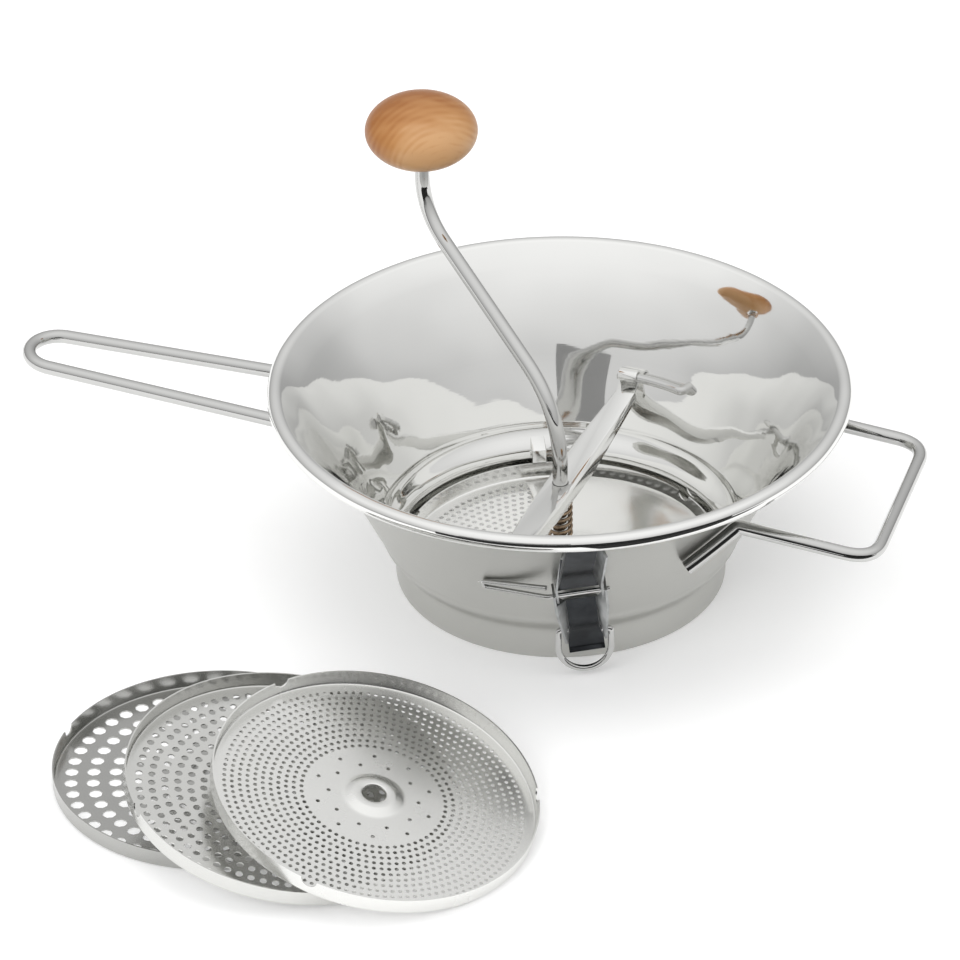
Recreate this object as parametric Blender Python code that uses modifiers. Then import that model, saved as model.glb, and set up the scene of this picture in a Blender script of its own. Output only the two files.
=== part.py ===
"""Hand cranked food mill with four sieve discs, one fitted and three lying beside it.

Metres, +Z up. The origin is on the bowl's axis, in the plane that the base stands on.
+Y points away from the latch side of the bowl and +X to its right.
"""
from math import atan, atan2, cos, hypot, pi, radians, sin, sqrt, tan

import bmesh
import bpy
from mathutils import Euler, Matrix, Vector

# Bowl, all radii to the outside of the sheet
RIM_RADIUS = 0.1225
RIM_HEIGHT = 0.0888
BEAD_RADIUS = 0.0035
SHEET = 0.0008
CONE_SLOPE = 0.49
FLARE_HEIGHT = 0.0528
SHOULDER_STEP = 0.0040
SHOULDER_HEIGHT = 0.0193
SHOULDER_DROP = 0.0022
BASE_RADIUS = 0.0698
FOOT_ROUND = 0.0020
LIP_WIDTH = 0.0059
LIP_HEIGHT = 0.0033

# Running and seating gap between any two pieces
GAP = 0.0003
# How far a cutter runs past the faces that it cuts
OVERRUN = 0.004
# Points of a turned piece closer than this are one
MERGE_DISTANCE = 0.00001

# Bridge that carries the crank across the bowl
BRIDGE_AZIMUTH = radians(68)
BRIDGE_TOP = 0.0428
BRIDGE_SHEET = 0.0010
BRIDGE_HALF_WIDTH = 0.00735
BRIDGE_FRONT_HALF_WIDTH = 0.0034
BRIDGE_REAR_HALF_WIDTH = 0.0048
BRIDGE_FLANGE = 0.0068
BRIDGE_END_FLANGE = 0.0030
BRIDGE_EDGE_DROP = 0.0009
BRIDGE_EDGE_WIDTH_SHARE = 0.16
BRIDGE_END_SETBACK = 0.0060
TONGUE_WIDTH = 0.0058
TONGUE_RISE = 0.0034
TONGUE_RAMP = 0.0040
HOOK_WIDTH = 0.0080
HOOK_RISE = 0.0030
HOOK_TURN = radians(285)

# Wire on the inside of the wall that the bridge hooks round
HOOK_WIRE_RADIUS = 0.0020
HOOK_WIRE_STANDOFF = 0.0050
HOOK_WIRE_END_AZIMUTH = radians(50)
HOOK_WIRE_LEAD_AZIMUTH = radians(71.5)
HOOK_WIRE_HEAD = 0.0020

# Crank, knob and what holds them
CRANK_AZIMUTH = radians(125)
ROD_RADIUS = 0.00325
CRANK_REACH = 0.0987
CRANK_ELBOW_HEIGHT = 0.0781
CRANK_SHANK = 0.0386
CRANK_ELBOW_BEND = 0.030
CRANK_SHOULDER_BEND = 0.018
KNOB_HEIGHT = 0.1680
KNOB_RADIUS = 0.0239
KNOB_HALF_THICKNESS = 0.01475
SLEEVE_WALL = 0.0017
SLEEVE_LENGTH = 0.0170
RETAINER_THICKNESS = 0.0012
ROD_END_CLEARANCE = 0.0016

# Spring and washers between bridge and blade
SPRING_WIRE_RADIUS = 0.0007
SPRING_CURLS = 8
WASHER_RADIUS = 0.0054
WASHER_THICKNESS = 0.0010

# Blade that sweeps the fitted disc
BLADE_SHEET = 0.0010
BLADE_CLEARANCE = 0.0045
BLADE_LEADING_AZIMUTH = radians(-77)
BLADE_TRAILING_AZIMUTH = radians(103)
BLADE_RISE = 0.0105
BLADE_LIP = 0.0032
BLADE_LIP_LEAN = radians(1.5)
HUB_RADIUS = 0.0067
HUB_HEIGHT = 0.0062
SPIGOT_RADIUS = 0.0045
SPIGOT_LENGTH = 0.0042

# Sieve discs
DISC_CLEARANCE = 0.0020
DISC_SHEET = 0.0006
DISC_RIM = 0.0074
DISC_ROUND = 0.0014
DOME_RADIUS = 0.0127
DOME_TOP_RADIUS = 0.0082
DOME_RISE = 0.0020
DISC_BORE = 0.0049
HOLE_BAND_INNER = 0.0205
HOLE_BAND_EDGE = 0.0070
DISC_HOLE_RADII = {"fitted_disc": 0.0014, "coarse_disc": 0.0029, "medium_disc": 0.0018, "fine_disc": 0.0011}
DISC_HOLE_RINGS = {"fitted_disc": 3, "coarse_disc": 3, "medium_disc": 3, "fine_disc": 4}
HOLES_PER_RING_STEP = 4
HOLE_PHASE = radians(3.3)
NOTCH_RADIUS = 0.0034
DISC_NOTCH_AZIMUTHS = {"fitted_disc": radians(37), "coarse_disc": radians(37), "medium_disc": radians(84),
                       "fine_disc": radians(7)}

# Spares: the coarse one lies flat and each of the others leans on the one before it
SPARE_AZIMUTH = radians(-35)
COARSE_PLACE = (-0.1426, -0.1530)
MEDIUM_LEAN = radians(11)
MEDIUM_SHIFT = -0.0090
FINE_LEAN = radians(14)
FINE_SHIFT = 0.0137

# Three ribs pressed into the bowl that keep the fitted disc down
RIB_WIDTH = 0.0060
RIB_REACH = 0.0010
RIB_TOP = 0.0205
RIB_AZIMUTH = radians(97)
RIB_COUNT = 3

# Wire handles
HANDLE_WIRE_RADIUS = 0.0030
HANDLE_AZIMUTH = radians(-16.5)
HANDLE_ROOT_HEIGHT = 0.0640
LONG_REACH = 0.2340
LONG_ROOT_HALF_WIDTH = 0.0196
LONG_TIP_HALF_WIDTH = 0.0130
LONG_RISE = radians(3.6)
LONG_WELD_HALF_WIDTH = 0.0240
LONG_WELD_HEIGHT = 0.0470
SHORT_REACH = 0.1468
SHORT_HALF_WIDTH = 0.0460
SHORT_CORNER = 0.0130
SHORT_DROP = radians(6.5)
SHORT_WELD_HALF_WIDTH = 0.0590
SHORT_WELD_HEIGHT = 0.0488
HANDLE_BEND = 0.011

# Latch on the outside of the wall
LATCH_AZIMUTH = radians(-86)
LATCH_TILT = radians(6.5)
LATCH_PIVOT_HEIGHT = 0.0490
LATCH_STANDOFF = 0.0054
LATCH_SHEET = 0.0010
LEVER_HALF_WIDTH = 0.0112
LEVER_WEB_HALF_WIDTH = 0.0068
LEVER_FOOT_HALF_WIDTH = 0.0088
LEVER_LENGTH = 0.0310
LEVER_EAR = 0.0034
LEVER_FLARE_DROP = 0.0085
LEVER_WEB_DEPTH = 0.0040
LEVER_FLANGE_FRONT = 0.0032
LEVER_SLOPE = radians(22)
LEVER_TONGUE_LENGTH = 0.0135
LEVER_TONGUE_HALF_WIDTH = 0.0075
LEVER_TONGUE_LIP = 0.0022
BRACKET_WEB_HALF_WIDTH = 0.0072
BRACKET_TOP_HALF_WIDTH = 0.0098
BRACKET_FLANGE = 0.0066
BRACKET_FLARE_RISE = 0.0090
BRACKET_TOP_CLEARANCE = 0.0020
BRACKET_EAR = 0.0024
LATCH_WIRE_RADIUS = 0.0010
LATCH_WIRE_HEAD = 0.0012
LATCH_WIRE_FOLD = 0.0036
LATCH_WIRE_RETURN_RISE = 0.0046
LOOP_WIRE_RADIUS = 0.0012
LOOP_HANG = 0.0194
LOOP_EAR_FROM_FOOT = 0.0036
LOOP_BEND = 0.0022
LOOP_STUB = 0.0012

# Where the sections of the flare and of the bridge lie
FLARE_SHARES = (1, 0.7, 0.35, 0)
BRIDGE_FRONT_SHARES = (1, 0.6, 0.25)
BRIDGE_REAR_SHARES = (0.25, 0.6, 1)

# Facets of the turned pieces
BOWL_STEPS = 48
DISC_STEPS = 32
KNOB_STEPS = 24
SMALL_STEPS = 14
HOLE_SIDES = 6

# Worked out from the sizes above
SHOULDER_RADIUS = BASE_RADIUS + SHOULDER_STEP
LIP_RADIUS = BASE_RADIUS - LIP_WIDTH
DISC_RADIUS = BASE_RADIUS - SHEET - DISC_CLEARANCE
HOLE_BAND_OUTER = DISC_RADIUS - HOLE_BAND_EDGE
RIB_INNER_RADIUS = DISC_RADIUS - RIB_REACH
BLADE_RADIUS = DISC_RADIUS - BLADE_CLEARANCE
CRANK_SHOULDER_HEIGHT = KNOB_HEIGHT - CRANK_SHANK
CONE_BASE_GAIN = CONE_SLOPE * (FLARE_HEIGHT - SHOULDER_HEIGHT)
FLARE_RADIUS = SHOULDER_RADIUS + CONE_BASE_GAIN
BEAD_CENTRE = RIM_RADIUS - BEAD_RADIUS
BEAD_MEET_ANGLE = radians(135)
DISC_SEAT = LIP_HEIGHT + GAP
DISC_TOP = DISC_SEAT + DISC_SHEET
HUB_FOOT = DISC_TOP + DOME_RISE + GAP
HUB_TOP = HUB_FOOT + HUB_HEIGHT
SPRING_RADIUS = ROD_RADIUS + 2 * GAP + SPRING_WIRE_RADIUS
KNOB_BORE = ROD_RADIUS + 2 * GAP + SLEEVE_WALL
KNOB_FOOT = KNOB_HEIGHT - KNOB_HALF_THICKNESS * sqrt(1 - (KNOB_BORE / KNOB_RADIUS) ** 2)
SLEEVE_FOOT = KNOB_FOOT + GAP
RETAINER_FOOT = SLEEVE_FOOT + SLEEVE_LENGTH + GAP
ROD_TOP = RETAINER_FOOT + RETAINER_THICKNESS + GAP
KNOB_BORE_TOP = ROD_TOP + ROD_END_CLEARANCE


def wall_radius(height):
    """Outside radius of the bowl's wall: a cone that flares into the rim."""
    radius = SHOULDER_RADIUS + CONE_SLOPE * (height - SHOULDER_HEIGHT)
    if height > FLARE_HEIGHT:
        radius += flare_gain() * (height - FLARE_HEIGHT) ** 2
    return radius


def flare_gain():
    """Curvature that brings the wall's outside to the bead's underside."""
    top = RIM_HEIGHT + BEAD_RADIUS * sin(BEAD_MEET_ANGLE)
    reach = BEAD_CENTRE + (BEAD_RADIUS - SHEET) * cos(BEAD_MEET_ANGLE)
    rise = top - FLARE_HEIGHT
    return (reach - FLARE_RADIUS - CONE_SLOPE * rise) / rise ** 2


def wall_slope(height):
    """How fast the wall's radius grows with height."""
    return CONE_SLOPE + 2 * flare_gain() * max(0, height - FLARE_HEIGHT)


def wall_offset(height, distance):
    """Radius at a distance square to the wall, outside it when positive."""
    return wall_radius(height) + distance * sqrt(1 + wall_slope(height) ** 2)


def polar(radius, azimuth, height):
    return Vector((radius * cos(azimuth), radius * sin(azimuth), height))


def arc(centre, radius, start, end, steps):
    """Points of an arc in a profile, from start to end in steps."""
    turn = (end - start) / steps
    return [(centre[0] + radius * cos(start + i * turn), centre[1] + radius * sin(start + i * turn))
            for i in range(steps + 1)]


def rounded(corners, bend, steps=4):
    """A path through the corners with each one turned into a smooth bend."""
    corners = [Vector(c) for c in corners]
    path = [corners[0]]
    for before, corner, after in zip(corners, corners[1:], corners[2:]):
        back, ahead = before - corner, after - corner
        cut = min(bend, 0.49 * back.length, 0.49 * ahead.length)
        start, end = corner + back.normalized() * cut, corner + ahead.normalized() * cut
        for i in range(steps + 1):
            t = i / steps
            path.append(start * (1 - t) ** 2 + corner * 2 * t * (1 - t) + end * t ** 2)
    path.append(corners[-1])
    return path


def start_scene():
    for old in list(bpy.data.objects):
        bpy.data.objects.remove(old)
    parts = bpy.data.collections.new("food_mill")
    cutters = bpy.data.collections.new("food_mill_cutters")
    for collection in (parts, cutters):
        bpy.context.scene.collection.children.link(collection)
    return parts, cutters


PARTS, CUTTERS = start_scene()


def metal(name, colour, roughness):
    return finish(name, colour, 1.0, roughness)


def finish(name, colour, metallic, roughness):
    mat = bpy.data.materials.new(name)
    mat.use_nodes = True
    shader = mat.node_tree.nodes["Principled BSDF"]
    shader.inputs["Base Color"].default_value = (*colour, 1)
    shader.inputs["Metallic"].default_value = metallic
    shader.inputs["Roughness"].default_value = roughness
    mat.diffuse_color = (*colour, 1)
    return mat


POLISHED = metal("polished_steel", (0.80, 0.80, 0.78), 0.08)
CHROMED = metal("chromed_wire", (0.85, 0.85, 0.84), 0.10)
ZINC = metal("zinc_plate", (0.45, 0.46, 0.48), 0.30)
SPRING_STEEL = metal("spring_steel", (0.22, 0.17, 0.12), 0.45)
BEECH = finish("beech", (0.78, 0.50, 0.24), 0.0, 0.40)


def add(name, data, mat, collection=PARTS, place=(0, 0, 0), turn=(0, 0, 0)):
    obj = bpy.data.objects.new(name, data)
    collection.objects.link(obj)
    obj.location = place
    obj.rotation_euler = turn
    if mat:
        data.materials.append(mat)
    return obj


def axis_at(name, place, turn=(0, 0, 0)):
    """An empty on a joint's axis, for the pieces that turn about it."""
    empty = bpy.data.objects.new(name, None)
    PARTS.objects.link(empty)
    empty.location = place
    empty.rotation_euler = turn
    return empty


def smooth(mesh):
    mesh.shade_smooth()
    mesh.set_sharp_from_angle(angle=radians(35))


def cutter(obj):
    obj.hide_render = True
    obj.display_type = 'WIRE'
    for collection in list(obj.users_collection):
        collection.objects.unlink(obj)
    CUTTERS.objects.link(obj)
    return obj


def boolean(obj, tool, operation='DIFFERENCE'):
    modifier = obj.modifiers.new(tool.name, 'BOOLEAN')
    modifier.operation = operation
    modifier.object = tool
    modifier.solver = 'EXACT'


def turned(name, profile, mat, steps, closed=False, place=(0, 0, 0), turn=(0, 0, 0)):
    """A lathe piece; the profile runs down its outer side first."""
    mesh = bpy.data.meshes.new(name)
    edges = [(i, i + 1) for i in range(len(profile) - 1)]
    if closed:
        edges.append((len(profile) - 1, 0))
    mesh.from_pydata([(r, 0, z) for r, z in profile], edges, [])
    obj = add(name, mesh, mat, place=place, turn=turn)
    screw = obj.modifiers.new("turn", 'SCREW')
    screw.steps = screw.render_steps = steps
    screw.use_merge_vertices = True
    screw.merge_threshold = MERGE_DISTANCE
    screw.use_smooth_shade = True
    return obj


def ring(name, inner, outer, foot, thickness, mat, steps=SMALL_STEPS, place=(0, 0, 0)):
    profile = [(outer, foot + thickness), (outer, foot), (inner, foot), (inner, foot + thickness)]
    return turned(name, profile, mat, steps, closed=True, place=place)


def wire(name, path, radius, mat, sides=2, place=(0, 0, 0), turn=(0, 0, 0)):
    """A round bar along a path."""
    curve = bpy.data.curves.new(name, 'CURVE')
    curve.dimensions = '3D'
    curve.bevel_depth = radius
    curve.bevel_resolution = sides
    curve.use_fill_caps = True
    spline = curve.splines.new('POLY')
    spline.points.add(len(path) - 1)
    for point, place_on_path in zip(spline.points, path):
        point.co = (*place_on_path, 1)
    spline.use_smooth = True
    return add(name, curve, mat, place=place, turn=turn)


def sheet(name, rows, thickness, mat, offset=0.0, place=(0, 0, 0), turn=(0, 0, 0)):
    """Sheet metal over a grid of points, given its thickness by Solidify."""
    bm = bmesh.new()
    grid = [[bm.verts.new(point) for point in row] for row in rows]
    for row, following in zip(grid, grid[1:]):
        for i in range(len(row) - 1):
            bm.faces.new((row[i], row[i + 1], following[i + 1], following[i]))
    mesh = bpy.data.meshes.new(name)
    bm.to_mesh(mesh)
    bm.free()
    obj = add(name, mesh, mat, place=place, turn=turn)
    solid = obj.modifiers.new("thickness", 'SOLIDIFY')
    solid.thickness = thickness
    solid.offset = offset
    solid.use_even_offset = True
    return obj


def bar_cutter(name, start, end, radius, sides=SMALL_STEPS):
    """A round cutter from one point to another."""
    start, end = Vector(start), Vector(end)
    along = end - start
    bm = bmesh.new()
    bmesh.ops.create_cone(bm, cap_ends=True, segments=sides, radius1=radius, radius2=radius,
                          depth=along.length)
    mesh = bpy.data.meshes.new(name)
    bm.to_mesh(mesh)
    bm.free()
    obj = add(name, mesh, None, place=(start + end) / 2)
    obj.rotation_euler = along.to_track_quat('Z', 'Y').to_euler()
    return cutter(obj)


def block_cutter(name, size, place, turn=(0, 0, 0)):
    bm = bmesh.new()
    bmesh.ops.create_cube(bm, size=1, matrix=Matrix.Diagonal((*size, 1)))
    mesh = bpy.data.meshes.new(name)
    bm.to_mesh(mesh)
    bm.free()
    return cutter(add(name, mesh, None, place=place, turn=turn))


def bowl_profile():
    """Closed section of the spun bowl: outside down, foot, lip, and the inside back up."""
    lowest_curve = RIM_HEIGHT - BEAD_RADIUS - 2 * GAP
    heights = [FLARE_HEIGHT + (lowest_curve - FLARE_HEIGHT) * share for share in FLARE_SHARES]
    outside = [(wall_radius(z), z) for z in heights]
    shoulder = [(SHOULDER_RADIUS, SHOULDER_HEIGHT), (BASE_RADIUS, SHOULDER_HEIGHT - SHOULDER_DROP)]
    foot_centre = (BASE_RADIUS - FOOT_ROUND, FOOT_ROUND)
    foot = arc(foot_centre, FOOT_ROUND, 0, -pi / 2, 2)
    lip = [(LIP_RADIUS + FOOT_ROUND, 0), (LIP_RADIUS, FOOT_ROUND), (LIP_RADIUS, LIP_HEIGHT),
           (LIP_RADIUS + SHEET, LIP_HEIGHT), (LIP_RADIUS + SHEET, FOOT_ROUND)]
    floor = [(LIP_RADIUS + FOOT_ROUND, SHEET), (BASE_RADIUS - FOOT_ROUND, SHEET),
             (BASE_RADIUS - SHEET, FOOT_ROUND)]
    inner_shoulder = [(BASE_RADIUS - SHEET, SHOULDER_HEIGHT - SHOULDER_DROP + SHEET),
                      (wall_offset(SHOULDER_HEIGHT + SHEET, -SHEET), SHOULDER_HEIGHT + SHEET)]
    inside = [(wall_offset(z, -SHEET), z) for z in reversed(heights)]
    bead_centre = (BEAD_CENTRE, RIM_HEIGHT)
    curl_end = BEAD_MEET_ANGLE - radians(300)
    outer_curl = arc(bead_centre, BEAD_RADIUS, BEAD_MEET_ANGLE, curl_end, 8)
    inner_curl = arc(bead_centre, BEAD_RADIUS - SHEET, curl_end, BEAD_MEET_ANGLE, 6)
    return outside + shoulder + foot + lip + floor + inner_shoulder + inside + outer_curl + inner_curl


def bridge_frame(along, across, height):
    """A point on the bridge: along from the axis to the rear, across to the right."""
    direction = Vector((cos(BRIDGE_AZIMUTH), sin(BRIDGE_AZIMUTH), 0))
    side = Vector((sin(BRIDGE_AZIMUTH), -cos(BRIDGE_AZIMUTH), 0))
    return direction * along + side * across + Vector((0, 0, height))


def tongue_height():
    return BRIDGE_TOP - BRIDGE_SHEET / 2 + TONGUE_RISE


def rib(name, azimuth):
    """Solid of one pressed rib, from the disc's rim up to the foot of the cone."""
    foot = DISC_SEAT + DISC_RIM + GAP
    back = BASE_RADIUS - SHEET / 2
    shoulder = SHOULDER_HEIGHT - SHOULDER_DROP
    top_back = wall_offset(RIB_TOP, -SHEET / 2)
    side = [(RIB_INNER_RADIUS, foot), (back, foot), (back, shoulder), (top_back, RIB_TOP),
            (RIB_INNER_RADIUS, shoulder)]
    bm = bmesh.new()
    face = bm.faces.new([bm.verts.new((r, -RIB_WIDTH / 2, z)) for r, z in side])
    moved = bmesh.ops.extrude_face_region(bm, geom=[face])["geom"]
    bmesh.ops.translate(bm, verts=[v for v in moved if isinstance(v, bmesh.types.BMVert)],
                        vec=(0, RIB_WIDTH, 0))
    bmesh.ops.recalc_face_normals(bm, faces=bm.faces)
    mesh = bpy.data.meshes.new(name)
    bm.to_mesh(mesh)
    bm.free()
    return cutter(add(name, mesh, None, turn=(0, 0, azimuth)))


def make_bowl():
    bowl = turned("bowl", bowl_profile(), POLISHED, BOWL_STEPS, closed=True)
    for i in range(RIB_COUNT):
        boolean(bowl, rib("rib_" + str(i + 1), RIB_AZIMUTH + 2 * pi * i / RIB_COUNT), 'UNION')
    radius = wall_radius(tongue_height())
    slot = block_cutter("tongue_slot", (4 * OVERRUN, TONGUE_WIDTH + 2 * GAP, BRIDGE_SHEET + 4 * GAP),
                        bridge_frame(-radius, 0, tongue_height()), (0, 0, BRIDGE_AZIMUTH))
    boolean(bowl, slot)
    height = hook_wire_height()
    hole = bar_cutter("hook_wire_hole", polar(wall_radius(height) - OVERRUN, HOOK_WIRE_END_AZIMUTH, height),
                      polar(wall_radius(height) + OVERRUN, HOOK_WIRE_END_AZIMUTH, height),
                      HOOK_WIRE_RADIUS + GAP)
    boolean(bowl, hole)
    return bowl


def hook_wire_height():
    """Axis of the wire: the bridge's end curls round it from below."""
    return BRIDGE_TOP - BRIDGE_SHEET / 2 + HOOK_RISE + hook_radius()


def hook_radius():
    return HOOK_WIRE_RADIUS + GAP + BRIDGE_SHEET / 2


def hook_wire_radius():
    """Distance of the wire's axis from the bowl's axis where the bridge hooks on."""
    return wall_offset(hook_wire_height(), -SHEET) - HOOK_WIRE_STANDOFF


def bridge_half_width(along, front, rear):
    if along < 0:
        return BRIDGE_HALF_WIDTH + (BRIDGE_FRONT_HALF_WIDTH - BRIDGE_HALF_WIDTH) * along / front
    return BRIDGE_HALF_WIDTH + (BRIDGE_REAR_HALF_WIDTH - BRIDGE_HALF_WIDTH) * along / rear


def bridge_rows(front, rear):
    """Sections of the pressed channel, from its front end to its rear end."""
    stations = [front * share for share in BRIDGE_FRONT_SHARES]
    stations += [rear * share for share in BRIDGE_REAR_SHARES]
    return [bridge_section(along, front, rear) for along in stations]


def bridge_section(along, front, rear):
    half = bridge_half_width(along, front, rear)
    reach = along / (front if along < 0 else rear)
    flange = BRIDGE_FLANGE + (BRIDGE_END_FLANGE - BRIDGE_FLANGE) * reach ** 2
    edge = half * BRIDGE_EDGE_WIDTH_SHARE
    section = [(-half, -flange), (-half, -BRIDGE_EDGE_DROP), (-half + edge, 0),
               (half - edge, 0), (half, -BRIDGE_EDGE_DROP), (half, -flange)]
    return [bridge_frame(along, across, BRIDGE_TOP + drop) for across, drop in section]


def strip(name, centre_line, half_width):
    """A band of sheet along a line of (along, height) points in the bridge's plane."""
    rows = [[bridge_frame(along, -half_width, height), bridge_frame(along, half_width, height)]
            for along, height in centre_line]
    return sheet(name, rows, BRIDGE_SHEET, None)


def make_bridge():
    front = -(wall_offset(BRIDGE_TOP, -SHEET) - BRIDGE_END_SETBACK)
    wire_along = hook_wire_radius()
    rear = wire_along - hook_radius() - BRIDGE_SHEET - GAP
    bridge = sheet("bridge", bridge_rows(front, rear), BRIDGE_SHEET, POLISHED, offset=-1)
    middle = BRIDGE_TOP - BRIDGE_SHEET / 2
    height = tongue_height()
    line = [(-wall_radius(height), height), (front - TONGUE_RAMP, height), (front, middle),
            (front + BRIDGE_END_SETBACK, middle)]
    tongue = strip("tongue", line, TONGUE_WIDTH / 2)
    centre = (wire_along, hook_wire_height())
    curl = arc(centre, hook_radius(), -pi / 2, -pi / 2 + HOOK_TURN, 10)
    hook = strip("hook", [(rear - BRIDGE_END_SETBACK, middle), (rear, middle)] + curl, HOOK_WIDTH / 2)
    for piece in (tongue, hook):
        boolean(bridge, cutter(piece), 'UNION')
    hole = bar_cutter("rod_hole", (0, 0, BRIDGE_TOP - OVERRUN), (0, 0, BRIDGE_TOP + OVERRUN),
                      ROD_RADIUS + GAP)
    boolean(bridge, hole)
    return bridge


def make_hook_wire():
    """The wire that the bridge hooks round: along the wall inside, out through it and headed."""
    height = hook_wire_height()
    radius = hook_wire_radius()
    steps = 4
    start, end = HOOK_WIRE_LEAD_AZIMUTH, HOOK_WIRE_END_AZIMUTH + radians(3)
    path = [polar(radius, start + (end - start) * i / steps, height) for i in range(steps + 1)]
    out = wall_radius(height) + HOOK_WIRE_HEAD
    path += [polar(radius, HOOK_WIRE_END_AZIMUTH, height), polar(out, HOOK_WIRE_END_AZIMUTH, height)]
    return wire("hook_wire", rounded(path, HOOK_WIRE_STANDOFF / 2, 2), HOOK_WIRE_RADIUS, CHROMED)


def crank_point(reach, height):
    return Vector((reach * cos(CRANK_AZIMUTH), reach * sin(CRANK_AZIMUTH), height))


def make_crank(axis):
    foot = HUB_FOOT - SPIGOT_LENGTH
    elbow, shoulder = crank_point(0, CRANK_ELBOW_HEIGHT), crank_point(CRANK_REACH, CRANK_SHOULDER_HEIGHT)
    middle = (elbow + shoulder) / 2
    lower = rounded([crank_point(0, foot), elbow, middle], CRANK_ELBOW_BEND, 6)
    upper = rounded([middle, shoulder, crank_point(CRANK_REACH, ROD_TOP)], CRANK_SHOULDER_BEND, 6)
    rod = wire("crank_rod", lower + upper[1:], ROD_RADIUS, CHROMED)
    rod.parent = axis
    return rod


def make_knob(axis):
    """Turned beech knob on a sleeve that spins on the rod, held by a push-on ring."""
    start = pi / 2
    end = -pi / 2 + atan2(KNOB_BORE, KNOB_RADIUS)
    outline = []
    steps = 11
    for i in range(steps + 1):
        angle = start + (end - start) * i / steps
        outline.append((KNOB_RADIUS * cos(angle), KNOB_HALF_THICKNESS * sin(angle)))
    outline[0] = (0, KNOB_HALF_THICKNESS)
    outline[-1] = (KNOB_BORE, KNOB_FOOT - KNOB_HEIGHT)
    outline += [(KNOB_BORE, KNOB_BORE_TOP - KNOB_HEIGHT), (0, KNOB_BORE_TOP - KNOB_HEIGHT)]
    knob = turned("knob", outline, BEECH, KNOB_STEPS)
    bore = ROD_RADIUS + GAP
    sleeve = ring("knob_sleeve", bore, KNOB_BORE - GAP, SLEEVE_FOOT - KNOB_HEIGHT, SLEEVE_LENGTH, POLISHED)
    retainer = ring("knob_retainer", bore, KNOB_BORE - 2 * GAP, RETAINER_FOOT - KNOB_HEIGHT,
                    RETAINER_THICKNESS, SPRING_STEEL)
    for piece in (knob, sleeve, retainer):
        piece.parent = axis


def spring_ends():
    top = BRIDGE_TOP - BRIDGE_SHEET - 2 * GAP - WASHER_THICKNESS
    foot = HUB_TOP + 2 * GAP + WASHER_THICKNESS
    return foot + SPRING_WIRE_RADIUS, top - SPRING_WIRE_RADIUS


def make_spring():
    """Open coil between the washers, one unbroken wire."""
    foot, top = spring_ends()
    points_per_curl = 9
    count = SPRING_CURLS * points_per_curl
    path = []
    for i in range(count + 1):
        angle = 2 * pi * i / points_per_curl
        path.append(polar(SPRING_RADIUS, angle, foot + (top - foot) * i / count))
    pitch = (top - foot) / SPRING_CURLS
    print("spring", SPRING_CURLS, "curls, least gap", round(pitch - 2 * SPRING_WIRE_RADIUS, 5), "m")
    return wire("spring", path, SPRING_WIRE_RADIUS, SPRING_STEEL, sides=1)


def make_washers():
    """One under the bridge and one that rides on the hub, each at an end of the spring."""
    bore = ROD_RADIUS + GAP
    upper_foot = BRIDGE_TOP - BRIDGE_SHEET - GAP - WASHER_THICKNESS
    ring("upper_washer", bore, WASHER_RADIUS, upper_foot, WASHER_THICKNESS, ZINC)
    ring("lower_washer", bore, WASHER_RADIUS, HUB_TOP + GAP, WASHER_THICKNESS, ZINC)


def make_hub(axis):
    bore = ROD_RADIUS + GAP
    profile = [(HUB_RADIUS, HUB_TOP), (HUB_RADIUS, HUB_FOOT), (SPIGOT_RADIUS, HUB_FOOT),
               (SPIGOT_RADIUS, HUB_FOOT - SPIGOT_LENGTH), (bore, HUB_FOOT - SPIGOT_LENGTH), (bore, HUB_TOP)]
    hub = turned("blade_hub", profile, POLISHED, SMALL_STEPS, closed=True)
    hub.parent = axis


def make_blade(axis):
    """Half disc that climbs from its trailing edge to a lipped leading edge."""
    middle = GAP + BLADE_SHEET / 2
    radii = (HUB_RADIUS + GAP, DOME_TOP_RADIUS + middle, DOME_RADIUS + middle, BLADE_RADIUS)
    lifts = (DOME_RISE, DOME_RISE, 0, 0)
    steps = 14
    rows = []
    for i in range(steps + 1):
        share = i / steps
        azimuth = BLADE_TRAILING_AZIMUTH + (BLADE_LEADING_AZIMUTH - BLADE_TRAILING_AZIMUTH) * share
        base = DISC_TOP + middle + BLADE_RISE * share
        rows.append([polar(r, azimuth, base + lift) for r, lift in zip(radii, lifts)])
    rows.append([polar(r, BLADE_LEADING_AZIMUTH - BLADE_LIP_LEAN, base + lift + BLADE_LIP)
                 for r, lift in zip(radii, lifts)])
    blade = sheet("blade", rows, BLADE_SHEET, POLISHED)
    blade.parent = axis


def disc_profile():
    inner_round = DISC_ROUND - DISC_SHEET
    outer_round = arc((DISC_RADIUS - DISC_ROUND, DISC_ROUND), DISC_ROUND, 0, -pi / 2, 2)
    inner = arc((DISC_RADIUS - DISC_ROUND, DISC_ROUND), inner_round, -pi / 2, 0, 1)
    return ([(DISC_RADIUS, DISC_RIM)] + outer_round
            + [(DOME_RADIUS, 0), (DOME_TOP_RADIUS, DOME_RISE), (DISC_BORE, DOME_RISE),
               (DISC_BORE, DOME_RISE + DISC_SHEET), (DOME_TOP_RADIUS, DOME_RISE + DISC_SHEET),
               (DOME_RADIUS, DISC_SHEET)]
            + inner + [(DISC_RADIUS - DISC_SHEET, DISC_RIM)])


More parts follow.
